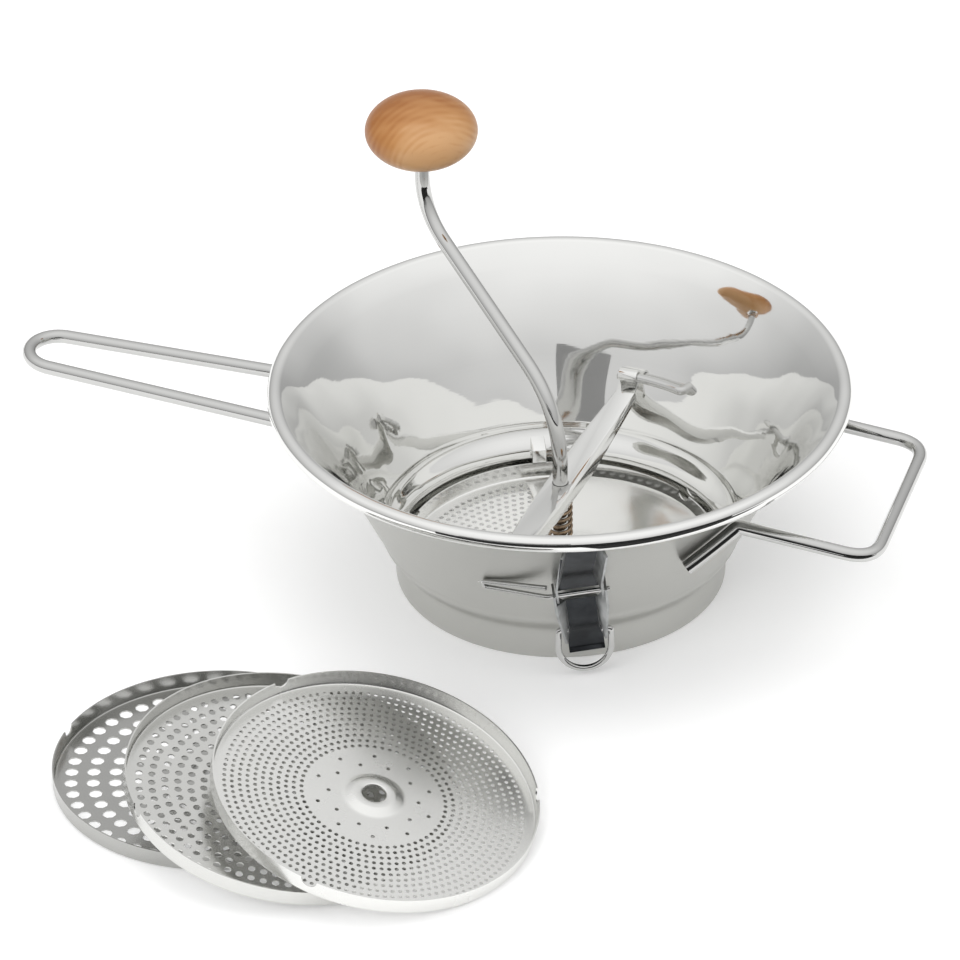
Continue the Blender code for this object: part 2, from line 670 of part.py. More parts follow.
def hole_cutter(name, radius, rings):
    """All the holes of one disc, on rings that hold more holes further out."""
    bm = bmesh.new()
    for i in range(rings):
        ring_radius = HOLE_BAND_INNER + (HOLE_BAND_OUTER - HOLE_BAND_INNER) * (i + 0.5) / rings
        count = HOLES_PER_RING_STEP * (i + 2)
        for j in range(count):
            azimuth = HOLE_PHASE + 2 * pi * (j + 0.5 * (i % 2)) / count
            place = Matrix.Translation(polar(ring_radius, azimuth, 0))
            bmesh.ops.create_cone(bm, cap_ends=True, segments=HOLE_SIDES, radius1=radius, radius2=radius,
                                  depth=2 * OVERRUN, matrix=place)
    mesh = bpy.data.meshes.new(name)
    bm.to_mesh(mesh)
    bm.free()
    return cutter(add(name, mesh, None))


def notch_cutter(name, azimuth):
    """Three round notches in the rim's top edge that pass the bowl's ribs."""
    bm = bmesh.new()
    for i in range(RIB_COUNT):
        turn = Matrix.Rotation(azimuth + 2 * pi * i / RIB_COUNT, 4, 'Z')
        place = Matrix.Translation((DISC_RADIUS, 0, DISC_RIM)) @ Matrix.Rotation(pi / 2, 4, 'Y')
        bmesh.ops.create_cone(bm, cap_ends=True, segments=SMALL_STEPS, radius1=NOTCH_RADIUS,
                              radius2=NOTCH_RADIUS, depth=OVERRUN, matrix=turn @ place)
    mesh = bpy.data.meshes.new(name)
    bm.to_mesh(mesh)
    bm.free()
    return cutter(add(name, mesh, None))


def make_disc(name, parent):
    disc = turned(name, disc_profile(), POLISHED, DISC_STEPS, closed=True)
    holes = hole_cutter(name + "_holes", DISC_HOLE_RADII[name], DISC_HOLE_RINGS[name])
    notches = notch_cutter(name + "_notches", DISC_NOTCH_AZIMUTHS[name])
    for tool in (holes, notches):
        boolean(disc, tool)
        tool.parent = parent
    disc.parent = parent


def disc_lift(lean):
    """Height of a leaning disc's centre when its rounded foot stands on the table."""
    return max(r * sin(lean) - z * cos(lean) for r, z in disc_profile())


def make_discs():
    """One disc on the bowl's lip, and three spares leaning over one another on the table."""
    make_disc("fitted_disc", axis_at("fitted_disc_place", (0, 0, DISC_SEAT)))
    along, side = polar(1, SPARE_AZIMUTH, 0), polar(1, SPARE_AZIMUTH + pi / 2, 0)
    place, lean = Vector((*COARSE_PLACE, 0)), 0
    make_disc("coarse_disc", axis_at("coarse_disc_place", place))
    for name, next_lean, shift in (("medium_disc", MEDIUM_LEAN, MEDIUM_SHIFT),
                                   ("fine_disc", FINE_LEAN, FINE_SHIFT)):
        corner = place + along * (DISC_RADIUS * cos(lean) + DISC_RIM * sin(lean))
        corner.z += DISC_RIM * cos(lean) - DISC_RADIUS * sin(lean)
        lift = disc_lift(next_lean)
        step = (GAP + (corner.z - lift) * cos(next_lean)) / sin(next_lean)
        place, lean = corner + along * step + side * shift, next_lean
        place.z = lift
        make_disc(name, axis_at(name + "_place", place, Matrix.Rotation(lean, 3, side).to_euler()))


def wall_run(height, half_width, foot_height, foot_half_width, wire_radius):
    """Wire points that lie along the wall, from the weld up to where the wire leaves it."""
    steps = 3
    points = []
    for i in range(steps + 1):
        share = i / steps
        z = foot_height + (height - foot_height) * share
        across = foot_half_width + (half_width - foot_half_width) * share
        radius = wall_offset(z, wire_radius + GAP)
        points.append((sqrt(radius ** 2 - across ** 2), across, z))
    return points


def mirrored(half):
    return half + [(x, -y, z) for x, y, z in reversed(half)]


def make_long_handle():
    run = wall_run(HANDLE_ROOT_HEIGHT, LONG_ROOT_HALF_WIDTH, LONG_WELD_HEIGHT, LONG_WELD_HALF_WIDTH,
                   HANDLE_WIRE_RADIUS)
    root = run[-1][0]
    slope = tan(LONG_RISE)
    bend_start = LONG_REACH - LONG_TIP_HALF_WIDTH
    half = run + [(bend_start, LONG_TIP_HALF_WIDTH, HANDLE_ROOT_HEIGHT + slope * (bend_start - root))]
    steps = 6
    tip = []
    for i in range(1, steps):
        angle = pi / 2 - pi * i / steps
        x = bend_start + LONG_TIP_HALF_WIDTH * cos(angle)
        tip.append((x, LONG_TIP_HALF_WIDTH * sin(angle), HANDLE_ROOT_HEIGHT + slope * (x - root)))
    path = rounded(half, HANDLE_BEND, 3)
    back = [Vector((p.x, -p.y, p.z)) for p in reversed(path)]
    return wire("long_handle", path + tip + back, HANDLE_WIRE_RADIUS, CHROMED,
                turn=(0, 0, HANDLE_AZIMUTH + pi))


def make_short_handle():
    run = wall_run(HANDLE_ROOT_HEIGHT, SHORT_HALF_WIDTH, SHORT_WELD_HEIGHT, SHORT_WELD_HALF_WIDTH,
                   HANDLE_WIRE_RADIUS)
    root = run[-1][0]
    end_height = HANDLE_ROOT_HEIGHT - tan(SHORT_DROP) * (SHORT_REACH - root)
    corners = mirrored(run + [(SHORT_REACH, SHORT_HALF_WIDTH, end_height)])
    return wire("short_handle", rounded(corners, SHORT_CORNER, 4), HANDLE_WIRE_RADIUS, CHROMED,
                turn=(0, 0, HANDLE_AZIMUTH))


def pivot_radius():
    return wall_offset(LATCH_PIVOT_HEIGHT, LATCH_STANDOFF)


def pivot_place():
    return polar(pivot_radius(), LATCH_AZIMUTH, LATCH_PIVOT_HEIGHT)


def latch_turn(slope, tilt=LATCH_TILT):
    return (slope, -tilt, LATCH_AZIMUTH + pi / 2)


def latch_frame(slope):
    return Matrix.Translation(pivot_place()) @ Euler(latch_turn(slope)).to_matrix().to_4x4()


def channel_row(frame, height, web_half, edge_half, web_depth, edge_depth):
    """One section of a channel that is open outwards, its web towards the wall."""
    section = [(-edge_half, edge_depth, height), (-web_half, web_depth, height),
               (web_half, web_depth, height), (edge_half, edge_depth, height)]
    return [frame @ Vector(point) for point in section]


def lever_rows():
    """Ears square to the pivot, then a channel that flares outwards."""
    here = Matrix.Identity(4)
    web, front = LEVER_WEB_DEPTH, -LEVER_FLANGE_FRONT
    ears = [channel_row(here, z, LEVER_HALF_WIDTH, LEVER_HALF_WIDTH, web, front)
            for z in (LEVER_EAR, -LEVER_EAR)]
    flared = [channel_row(here, -LEVER_FLARE_DROP, LEVER_WEB_HALF_WIDTH, LEVER_HALF_WIDTH, web, front),
              channel_row(here, -LEVER_LENGTH, LEVER_WEB_HALF_WIDTH, LEVER_FOOT_HALF_WIDTH, web, front)]
    return ears + flared


def lever_tongue():
    """The web's run past the flanges, with its end turned outwards."""
    web, half = LEVER_WEB_DEPTH, LEVER_TONGUE_HALF_WIDTH
    low = -LEVER_LENGTH - LEVER_TONGUE_LENGTH
    line = [(web, -LEVER_LENGTH + LEVER_EAR), (web, low), (web - LEVER_TONGUE_LIP, low - LEVER_TONGUE_LIP / 2)]
    return sheet("lever_tongue", [[(-half, y, z), (half, y, z)] for y, z in line], LATCH_SHEET, None, offset=-1)


def make_lever(axis):
    """Lever that swings on the wire, with the web's tongue below it."""
    lever = sheet("latch_lever", lever_rows(), LATCH_SHEET, ZINC, offset=-1)
    tongue = cutter(lever_tongue())
    boolean(lever, tongue, 'UNION')
    half_span = LEVER_HALF_WIDTH + OVERRUN
    pivot_hole = bar_cutter("lever_pivot_hole", (-half_span, 0, 0), (half_span, 0, 0), LATCH_WIRE_RADIUS + GAP)
    window = block_cutter("lever_web_window", (2 * (LEVER_HALF_WIDTH - LATCH_SHEET), 3 * LATCH_SHEET,
                                               2 * LEVER_FLARE_DROP), (0, LEVER_WEB_DEPTH, 0))
    for tool in (pivot_hole, window):
        boolean(lever, tool)
    for piece in (lever, tongue, pivot_hole, window):
        piece.parent = axis
    ears = loop_place()
    sideways = polar(half_span, LATCH_AZIMUTH + pi / 2, 0)
    boolean(lever, bar_cutter("lever_loop_hole", ears - sideways, ears + sideways, LOOP_WIRE_RADIUS + GAP))


def make_bracket():
    """Fixed channel, spot welded to the wall, that carries the pivot wire."""
    top_height = RIM_HEIGHT - BEAD_RADIUS - BRACKET_TOP_CLEARANCE
    top = polar(wall_offset(top_height, GAP), LATCH_AZIMUTH, top_height)
    foot_frame = latch_frame(LEVER_SLOPE)
    slope = atan(wall_slope((top_height + LATCH_PIVOT_HEIGHT) / 2))
    top_frame = Matrix.Translation(top) @ Euler(latch_turn(slope, 0)).to_matrix().to_4x4()
    half = LEVER_HALF_WIDTH - LATCH_SHEET - GAP
    edge = -LEVER_FLANGE_FRONT - GAP
    rows = [channel_row(top_frame, 0, BRACKET_WEB_HALF_WIDTH, BRACKET_TOP_HALF_WIDTH, 0, -BRACKET_FLANGE)]
    for height, web_half, front in ((BRACKET_FLARE_RISE, BRACKET_WEB_HALF_WIDTH, edge),
                                    (LEVER_EAR + GAP, half, edge), (-BRACKET_EAR, half, -BRACKET_EAR)):
        rows.append(channel_row(foot_frame, height, web_half, half, wall_depth(foot_frame, height), front))
    bracket = sheet("latch_bracket", rows, LATCH_SHEET, ZINC, offset=-1)
    half_span = LEVER_HALF_WIDTH + OVERRUN
    ends = [foot_frame @ Vector((x, 0, 0)) for x in (-half_span, half_span)]
    boolean(bracket, bar_cutter("bracket_hole", *ends, LATCH_WIRE_RADIUS + GAP))
    return bracket


def wall_depth(frame, height):
    """Depth in the frame at which a flat web comes just clear of the wall."""
    depth = 0
    for _ in range(8):
        point = frame @ Vector((0, depth, height))
        depth += hypot(point.x, point.y) - wall_offset(point.z, 2 * GAP)
    return depth


def make_latch_wire():
    """Wire through the ears, out along the wall to the tongue and folded back above itself."""
    frame = latch_frame(0)
    right = frame @ Vector((LEVER_HALF_WIDTH + LATCH_WIRE_HEAD, 0, 0))
    beyond = LEVER_HALF_WIDTH + LATCH_WIRE_HEAD + LATCH_WIRE_RADIUS
    left = frame @ Vector((-beyond, 0, 0))
    end_azimuth = BRIDGE_AZIMUTH - pi
    clear = LATCH_WIRE_RADIUS + GAP
    fold = [polar(wall_offset(z, clear), end_azimuth, z)
            for z in (tongue_height() - LATCH_WIRE_FOLD / 2, tongue_height() + LATCH_WIRE_FOLD / 2)]
    back = frame @ Vector((-beyond, 0, LATCH_WIRE_RETURN_RISE))
    path = rounded([right, left] + fold + [back], LATCH_WIRE_FOLD / 2, 4)
    return wire("latch_wire", path, LATCH_WIRE_RADIUS, CHROMED)


def loop_place():
    """Middle of the loop's two ear holes in the lever, at rest."""
    depth = (LEVER_WEB_DEPTH - LEVER_FLANGE_FRONT) / 2
    return latch_frame(LEVER_SLOPE) @ Vector((0, depth, LOOP_EAR_FROM_FOOT - LEVER_LENGTH))


def make_pull_loop():
    """Round wire loop whose two ends turn in through the lever's flanges."""
    share = LOOP_EAR_FROM_FOOT / (LEVER_LENGTH - LEVER_FLARE_DROP)
    edge = LEVER_FOOT_HALF_WIDTH + (LEVER_HALF_WIDTH - LEVER_FOOT_HALF_WIDTH) * share
    half = edge + LOOP_WIRE_RADIUS + 2 * GAP
    stub = (LEVER_WEB_HALF_WIDTH + LEVER_FOOT_HALF_WIDTH) / 2 - LATCH_SHEET - LOOP_STUB
    drop = LOOP_HANG - half
    corners = [(-stub, 0, 0), (-half, 0, 0), (-half, 0, -drop)]
    left = rounded(corners, LOOP_BEND, 3)
    steps = 6
    bow = [Vector((-half * cos(pi * i / steps), 0, -drop - half * sin(pi * i / steps)))
           for i in range(1, steps)]
    right = [Vector((-p.x, p.y, p.z)) for p in reversed(left)]
    return wire("pull_loop", left + bow + right, LOOP_WIRE_RADIUS, CHROMED, place=loop_place(),
                turn=latch_turn(0, 0))


def build():
    make_bowl()
    make_bridge()
    make_hook_wire()
    make_long_handle()
    make_short_handle()
    crank_axis = axis_at("crank_axis", (0, 0, 0))
    make_crank(crank_axis)
    make_hub(crank_axis)
    make_blade(crank_axis)
    make_washers()
    make_spring()
    make_knob(axis_at("knob_axis", crank_point(CRANK_REACH, KNOB_HEIGHT)))
    make_discs()
    make_bracket()
    make_latch_wire()
    make_lever(axis_at("lever_axis", pivot_place(), latch_turn(LEVER_SLOPE)))
    make_pull_loop()
    for obj in PARTS.objects:
        if obj.type == 'MESH':
            smooth(obj.data)


build()
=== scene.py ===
from math import cos, hypot, pi, radians, sin, sqrt, tan

import bpy
from mathutils import Matrix, Vector


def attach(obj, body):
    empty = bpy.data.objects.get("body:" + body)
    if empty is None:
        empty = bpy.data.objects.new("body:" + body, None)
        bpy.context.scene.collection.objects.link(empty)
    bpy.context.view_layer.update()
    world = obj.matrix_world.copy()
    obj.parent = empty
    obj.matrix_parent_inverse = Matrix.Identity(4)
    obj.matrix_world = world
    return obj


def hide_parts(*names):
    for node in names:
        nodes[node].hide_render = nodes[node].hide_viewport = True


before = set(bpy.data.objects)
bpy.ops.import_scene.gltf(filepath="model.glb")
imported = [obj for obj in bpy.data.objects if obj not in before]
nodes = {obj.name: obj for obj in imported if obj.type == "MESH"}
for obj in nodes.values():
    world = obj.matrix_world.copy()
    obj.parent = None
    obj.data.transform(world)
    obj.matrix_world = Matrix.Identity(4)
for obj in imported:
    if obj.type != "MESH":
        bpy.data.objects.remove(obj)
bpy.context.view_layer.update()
print("frame loaded:", len(nodes), "nodes")

view = {
    "lens": 300,
    "sensor": 36,
    "farClip": 50,
    "bounces": 10,  # the bowl's wall mirrors itself many times
    "place": (-0.0338, -2.8437, 1.8483),
    "right": (0.999915, -0.006993, -0.011024),
    "down": (-0.013055, -0.535584, -0.844378),
    "forward": (0, 0.84445, -0.53563),
}


def makeCamera():
    data = bpy.data.cameras.new("studioCamera")
    data.lens = view["lens"]
    data.sensor_width = view["sensor"]
    data.clip_end = view["farClip"]
    camera = bpy.data.objects.new("studioCamera", data)
    bpy.context.scene.collection.objects.link(camera)
    axes = (Vector(view["right"]), -Vector(view["down"]), -Vector(view["forward"]))
    turn = Matrix([list(axis) for axis in axes]).transposed().to_4x4()
    camera.matrix_world = Matrix.Translation(view["place"]) @ turn
    bpy.context.scene.camera = camera


makeCamera()
bpy.context.scene.view_settings.view_transform = "Standard"
bpy.context.scene.cycles.glossy_bounces = view["bounces"]
print("camera placed")


# Small tools for the operators

mergeDistance = 0.000002


def clearSelection():
    if bpy.context.object and bpy.context.object.mode != "OBJECT":
        bpy.ops.object.mode_set(mode="OBJECT")
    bpy.ops.object.select_all(action="DESELECT")


def pick(obj):
    clearSelection()
    bpy.context.view_layer.objects.active = obj
    obj.select_set(True)
    return obj


def pickFaces(obj, wanted):
    pick(obj)
    bpy.ops.object.mode_set(mode="EDIT")
    bpy.ops.mesh.select_mode(type="FACE")
    bpy.ops.mesh.select_all(action="DESELECT")
    bpy.ops.object.mode_set(mode="OBJECT")
    for face in obj.data.polygons:
        face.select = wanted(face)
    bpy.ops.object.mode_set(mode="EDIT")


def editAll(obj):
    pick(obj)
    bpy.ops.object.mode_set(mode="EDIT")
    bpy.ops.mesh.select_all(action="SELECT")


def named(name):
    obj = bpy.context.object
    obj.name = name
    obj.data.name = name
    return obj


def settle(obj):
    pick(obj)
    bpy.ops.object.transform_apply(location=True, rotation=True, scale=True)
    return obj


def applyAll(obj):
    pick(obj)
    for modifier in list(obj.modifiers):
        bpy.ops.object.modifier_apply(modifier=modifier.name)
    return obj


def bevelEdges(obj, width, segments, degrees=30):
    # rounds the edges that are sharper than the angle
    edge = obj.modifiers.new("edge", "BEVEL")
    edge.width = width
    edge.segments = segments
    edge.limit_method = "ANGLE"
    edge.angle_limit = radians(degrees)
    return applyAll(obj)


def shadeByAngle(obj, degrees):
    pick(obj)
    bpy.ops.object.shade_smooth_by_angle(angle=radians(degrees))
    return obj


def polarPoint(radius, azimuth, height):
    return Vector((radius * cos(azimuth), radius * sin(azimuth), height))


def finishPiece(obj, body, slotName, *replaced):
    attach(obj, body)
    if replaced:
        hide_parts(*replaced)
    return obj


# Materials

class Recipe:
    def __init__(self, name, colour, metallic, roughness):
        self.material = bpy.data.materials.new(name)
        self.material.use_nodes = True
        self.tree = self.material.node_tree
        self.shader = self.tree.nodes["Principled BSDF"]
        self.shader.inputs["Base Color"].default_value = (*colour, 1)
        self.shader.inputs["Metallic"].default_value = metallic
        self.shader.inputs["Roughness"].default_value = roughness
        self.material.diffuse_color = (*colour, 1)

    def node(self, kind, **values):
        made = self.tree.nodes.new(kind)
        for name, value in values.items():
            if name in made.inputs:
                made.inputs[name].default_value = value
            else:
                setattr(made, name, value)
        return made

    def link(self, source, target):
        self.tree.links.new(source, target)

    def calc(self, kind, *values):
        made = self.node("ShaderNodeMath", operation=kind)
        for socket, value in zip(made.inputs, values):
            if isinstance(value, (int, float)):
                socket.default_value = value
            else:
                self.link(value, socket)
        return made.outputs["Value"]

    def coords(self, scale=(1, 1, 1), turn=(0, 0, 0), centre=(0, 0, 0)):
        place = self.node("ShaderNodeTexCoord")
        shift = self.node("ShaderNodeVectorMath", operation="SUBTRACT")
        self.link(place.outputs["Object"], shift.inputs[0])
        shift.inputs[1].default_value = centre
        mapping = self.node("ShaderNodeMapping")
        mapping.inputs["Scale"].default_value = scale
        mapping.inputs["Rotation"].default_value = turn
        self.link(shift.outputs["Vector"], mapping.inputs["Vector"])
        return mapping.outputs["Vector"]

    def noise(self, vector, scale, detail=3, rough=0.5):
        made = self.node("ShaderNodeTexNoise", Scale=scale, Detail=detail, Roughness=rough)
        self.link(vector, made.inputs["Vector"])
        return made.outputs["Fac"]

    def spread(self, value, low, high, start=0, end=1):
        made = self.node("ShaderNodeMapRange")
        made.inputs["From Min"].default_value = start
        made.inputs["From Max"].default_value = end
        made.inputs["To Min"].default_value = low
        made.inputs["To Max"].default_value = high
        self.link(value, made.inputs["Value"])
        return made.outputs["Result"]

    def ramp(self, value, stops):
        made = self.node("ShaderNodeValToRGB")
        bar = made.color_ramp
        for _ in range(len(stops) - 2):
            bar.elements.new(0.5)
        for element, (position, colour) in zip(bar.elements, stops):
            element.position = position
            element.color = (*colour, 1)
        self.link(value, made.inputs["Fac"])
        return made.outputs["Color"]

    def bump(self, height, strength, distance, before=None):
        made = self.node("ShaderNodeBump", Strength=strength, Distance=distance)
        self.link(height, made.inputs["Height"])
        if before:
            self.link(before, made.inputs["Normal"])
        return made.outputs["Normal"]

    def turnedLines(self, scale):
        # lines left by spinning: they change only with the distance from the axis
        parts = self.node("ShaderNodeSeparateXYZ")
        self.link(self.coords(), parts.inputs["Vector"])
        flat = self.node("ShaderNodeCombineXYZ")
        self.link(parts.outputs["X"], flat.inputs["X"])
        self.link(parts.outputs["Y"], flat.inputs["Y"])
        reach = self.node("ShaderNodeVectorMath", operation="LENGTH")
        self.link(flat.outputs["Vector"], reach.inputs[0])
        line = self.node("ShaderNodeTexNoise", noise_dimensions="1D", Scale=scale, Detail=2)
        self.link(reach.outputs["Value"], line.inputs["W"])
        return line.outputs["Fac"]


polish = {"cloud": 60, "dents": 22, "dentDepth": 0.002, "lineStrength": 0.05, "lineDepth": 0.0001}

metals = {
    "polishedSteel": {"colour": (0.82, 0.82, 0.805), "rough": (0.02, 0.06), "wave": 0.9,
                      "lines": 900},
    # discSteel and the pale, grey and bright disc steels are one steel: the pale copy is painted
    # light, the grey copy painted shade, the bright copy a painted reflection of the bowl
    "discSteel": {"colour": (0.70, 0.70, 0.68), "rough": (0.18, 0.30), "wave": 0.20, "lines": 1400},
    "discSteelPaintedLight": {"colour": (0.82, 0.82, 0.80), "rough": (0.20, 0.32), "wave": 0.20,
                      "lines": 1400},
    "discSteelPaintedShade": {"colour": (0.47, 0.47, 0.455), "rough": (0.18, 0.30), "wave": 0.20,
                      "lines": 1400},
    "discSteelPaintedReflection": {"colour": (0.86, 0.86, 0.845), "rough": (0.10, 0.20), "wave": 0.20,
                        "lines": 1400},
    "bladeSteel": {"colour": (0.86, 0.86, 0.845), "rough": (0.16, 0.26), "wave": 0.4, "lines": 900},
    "bridgeSteel": {"colour": (0.78, 0.78, 0.765), "rough": (0.08, 0.16), "wave": 0.5, "lines": 0},
    "chrome": {"colour": (0.58, 0.58, 0.57), "rough": (0.03, 0.07), "wave": 0.10, "lines": 0},
}


def makePolished(name):
    plan = metals[name]
    low, high = plan["rough"]
    made = Recipe(name, plan["colour"], 1, low)
    vector = made.coords()
    cloud = made.noise(vector, polish["cloud"])
    made.link(made.spread(cloud, low, high), made.shader.inputs["Roughness"])
    normal = made.bump(made.noise(vector, polish["dents"], 1), plan["wave"], polish["dentDepth"])
    if plan["lines"]:
        lines = made.turnedLines(plan["lines"])
        normal = made.bump(lines, polish["lineStrength"], polish["lineDepth"], normal)
    made.link(normal, made.shader.inputs["Normal"])
    return made.material


satin = {
    "colour": (0.545, 0.545, 0.52),
    "rough": (0.28, 0.42),
    "streak": (1, 1, 30),
    "streakScale": 90,
    "lines": 500,
    "lineStrength": 0.06,
    "lineDepth": 0.0001,
    "dents": 14,
    "wave": 0.20,
    "dentDepth": 0.002,
}


def makeSatin():
    made = Recipe("satinSteel", satin["colour"], 1, satin["rough"][0])
    streaks = made.noise(made.coords(satin["streak"]), satin["streakScale"], 4)
    made.link(made.spread(streaks, *satin["rough"]), made.shader.inputs["Roughness"])
    lines = made.bump(made.turnedLines(satin["lines"]), satin["lineStrength"], satin["lineDepth"])
    dents = made.noise(made.coords(), satin["dents"], 1)
    normal = made.bump(dents, satin["wave"], satin["dentDepth"], lines)
    made.link(normal, made.shader.inputs["Normal"])
    return made.material


plate = {
    "grain": 300,
    "smoother": 0.05,
    "rougher": 0.08,
    "cloud": 160,
    "tones": ((0.3, 0.75), (0.7, 1.2)),  # place on the cloud and share of the colour
    "pits": 400,
    "pitStrength": 0.03,
    "pitDepth": 0.0002,
}


def makePlate(name, colour, rough):
    made = Recipe(name, colour, 1, rough)
    vector = made.coords()
    grain = made.noise(vector, plate["grain"], 4)
    made.link(made.spread(grain, rough - plate["smoother"], rough + plate["rougher"]),
              made.shader.inputs["Roughness"])
    stops = [(stop, [channel * share for channel in colour]) for stop, share in plate["tones"]]
    cloud = made.ramp(made.noise(vector, plate["cloud"], 2), stops)
    made.link(cloud, made.shader.inputs["Base Color"])
    pits = made.noise(vector, plate["pits"], 1)
    normal = made.bump(pits, plate["pitStrength"], plate["pitDepth"])
    made.link(normal, made.shader.inputs["Normal"])
    return made.material


wood = {
    "centre": (-0.0400, 0.0809, 0.1420),  # the growth rings run round a line through here
    "turn": (radians(-56), radians(8), radians(4)),
    "rings": 112,
    "wander": (0.0022, 0.0022, 0.001),
    "wanderScale": 55,
    "years": (-0.10, 0.34),
    "yearScale": 130,
    "heart": (0.018, 0.042),  # paler within the first radius, darker past the second
    "heartTone": (-0.20, 0.60),
    "cloud": (1, 3, 1),
    "cloudScale": 60,
    "cloudShare": 0.65,
    "pale": (0.55, 0.308, 0.138),
    "mid": (0.455, 0.214, 0.068),
    "dark": (0.32, 0.108, 0.012),
    "stops": (0.22, 0.5, 0.95),
    "flecks": (9, 9, 1),
    "fleckScale": 160,
    "fleckStops": ((0.0, (0.78, 0.72, 0.66)), (0.36, (1, 1, 1)), (1.0, (1, 1, 1))),
    "fleckStrength": 0.05,
    "fleckDepth": 0.0003,
    "rough": 0.42,
    "coat": 0.10,
    "coatRough": 0.22,
}


def makeBeech():
    made = Recipe("varnishedBeech", wood["mid"], 0, wood["rough"])
    place = (wood["turn"], wood["centre"])
    vector = made.coords((1, 1, 1), *place)
    bend = made.node("ShaderNodeVectorMath", operation="MULTIPLY_ADD")
    made.link(made.noise(vector, wood["wanderScale"], 2), bend.inputs[0])
    bend.inputs[1].default_value = wood["wander"]
    made.link(vector, bend.inputs[2])
    rings = made.node("ShaderNodeTexWave", wave_type="RINGS", rings_direction="Z",
                      Scale=wood["rings"], Distortion=0.4, Detail=1)
    made.link(bend.outputs["Vector"], rings.inputs["Vector"])
    # strong and faint years
    years = made.spread(made.noise(vector, wood["yearScale"], 1), *wood["years"])
    faded = made.calc("MULTIPLY", rings.outputs["Fac"], years)
    # paler towards the middle of the rings
    flat = made.node("ShaderNodeVectorMath", operation="MULTIPLY")
    made.link(bend.outputs["Vector"], flat.inputs[0])
    flat.inputs[1].default_value = (1, 1, 0)
    reach = made.node("ShaderNodeVectorMath", operation="LENGTH")
    made.link(flat.outputs["Vector"], reach.inputs[0])
    heart = made.spread(reach.outputs["Value"], *wood["heartTone"], *wood["heart"])
    cloud = made.noise(made.coords(wood["cloud"], *place), wood["cloudScale"], 1)
    tone = made.calc("MULTIPLY_ADD", cloud, wood["cloudShare"], made.calc("ADD", heart, faded))
    grain = made.ramp(tone, list(zip(wood["stops"], (wood["pale"], wood["mid"], wood["dark"]))))
    # short dark flecks along the grain
    flecks = made.noise(made.coords(wood["flecks"], *place), wood["fleckScale"], 2, 0.6)
    both = made.node("ShaderNodeMix", data_type="RGBA", blend_type="MULTIPLY")
    both.inputs[0].default_value = 1
    made.link(grain, both.inputs[6])
    made.link(made.ramp(flecks, wood["fleckStops"]), both.inputs[7])
    made.link(both.outputs[2], made.shader.inputs["Base Color"])
    made.shader.inputs["Coat Weight"].default_value = wood["coat"]
    made.shader.inputs["Coat Roughness"].default_value = wood["coatRough"]
    bump = made.bump(flecks, wood["fleckStrength"], wood["fleckDepth"])
    made.link(bump, made.shader.inputs["Normal"])
    return made.material


polishedSteel = makePolished("polishedSteel")
discSteel = makePolished("discSteel")
# copies of the disc steel with painted light, painted shade and a painted reflection
paintedLightDisc = makePolished("discSteelPaintedLight")
paintedShadeDisc = makePolished("discSteelPaintedShade")
paintedReflectionDisc = makePolished("discSteelPaintedReflection")
bladeSteel = makePolished("bladeSteel")
bridgeSteel = makePolished("bridgeSteel")
chrome = makePolished("chrome")
satinSteel = makeSatin()
# a painted dark reflection for the latch's web, on the same plated sheet as its flanges
paintedDarkReflectionPlate = makePlate("paintedDarkReflectionPlate", colour=(0.042, 0.045, 0.049), rough=0.22)
zincPlate = makePlate("zincPlate", colour=(0.46, 0.47, 0.470), rough=0.34)
springSteel = makePlate("springSteel", colour=(0.30, 0.22, 0.15), rough=0.30)
beech = makeBeech()
print("materials made")


# Bowl

bowl = {
    "segments": 192,
    "sheet": 0.0008,
    "shoulderRadius": 0.0738,
    "shoulderHeight": 0.0193,
    "crease": (0.0128, 0.0252),
    "baseRadius": 0.0698,
    "footRound": 0.002,
    "lipRadius": 0.0639,
    "lipHeight": 0.0033,
    "coneSlope": 0.49,
    "flareHeight": 0.0528,
    "rimRadius": 0.1225,
    "rimHeight": 0.0888,
    "bead": 0.0035,
    "beadMeet": radians(135),
    "beadCurl": radians(300),
    "arcSteps": 5,
    "footRing": 0.4,
    "creaseLead": 0.0012,
    "creaseSteps": 10,
    "wallGap": 0.0008,
    "wallSteps": 30,
    "beadSteps": 26,
    "midWall": 0.05,
}


def flareGain():
    # how fast the wall widens above the cone, so that it meets the bead
    bead, meet, slope = bowl["bead"], bowl["beadMeet"], bowl["coneSlope"]
    top = bowl["rimHeight"] + bead * sin(meet)
    reach = bowl["rimRadius"] - bead + (bead - bowl["sheet"]) * cos(meet)
    rise = top - bowl["flareHeight"]
    foot = bowl["shoulderRadius"] + slope * (bowl["flareHeight"] - bowl["shoulderHeight"])
    return (reach - foot - slope * rise) / rise ** 2


def wallSlope(height):
    return bowl["coneSlope"] + 2 * flareGain() * max(0, height - bowl["flareHeight"])


def wallRadius(height, distance=0):
    # outside of the wall at a height, or so far out from it
    radius = bowl["shoulderRadius"] + bowl["coneSlope"] * (height - bowl["shoulderHeight"])
    radius += flareGain() * max(0, height - bowl["flareHeight"]) ** 2
    return radius + distance * sqrt(1 + wallSlope(height) ** 2)


def arcPoints(centre, radius, start, end, steps):
    turn = (end - start) / steps
    return [(centre[0] + radius * cos(start + i * turn), centre[1] + radius * sin(start + i * turn))
            for i in range(steps + 1)]


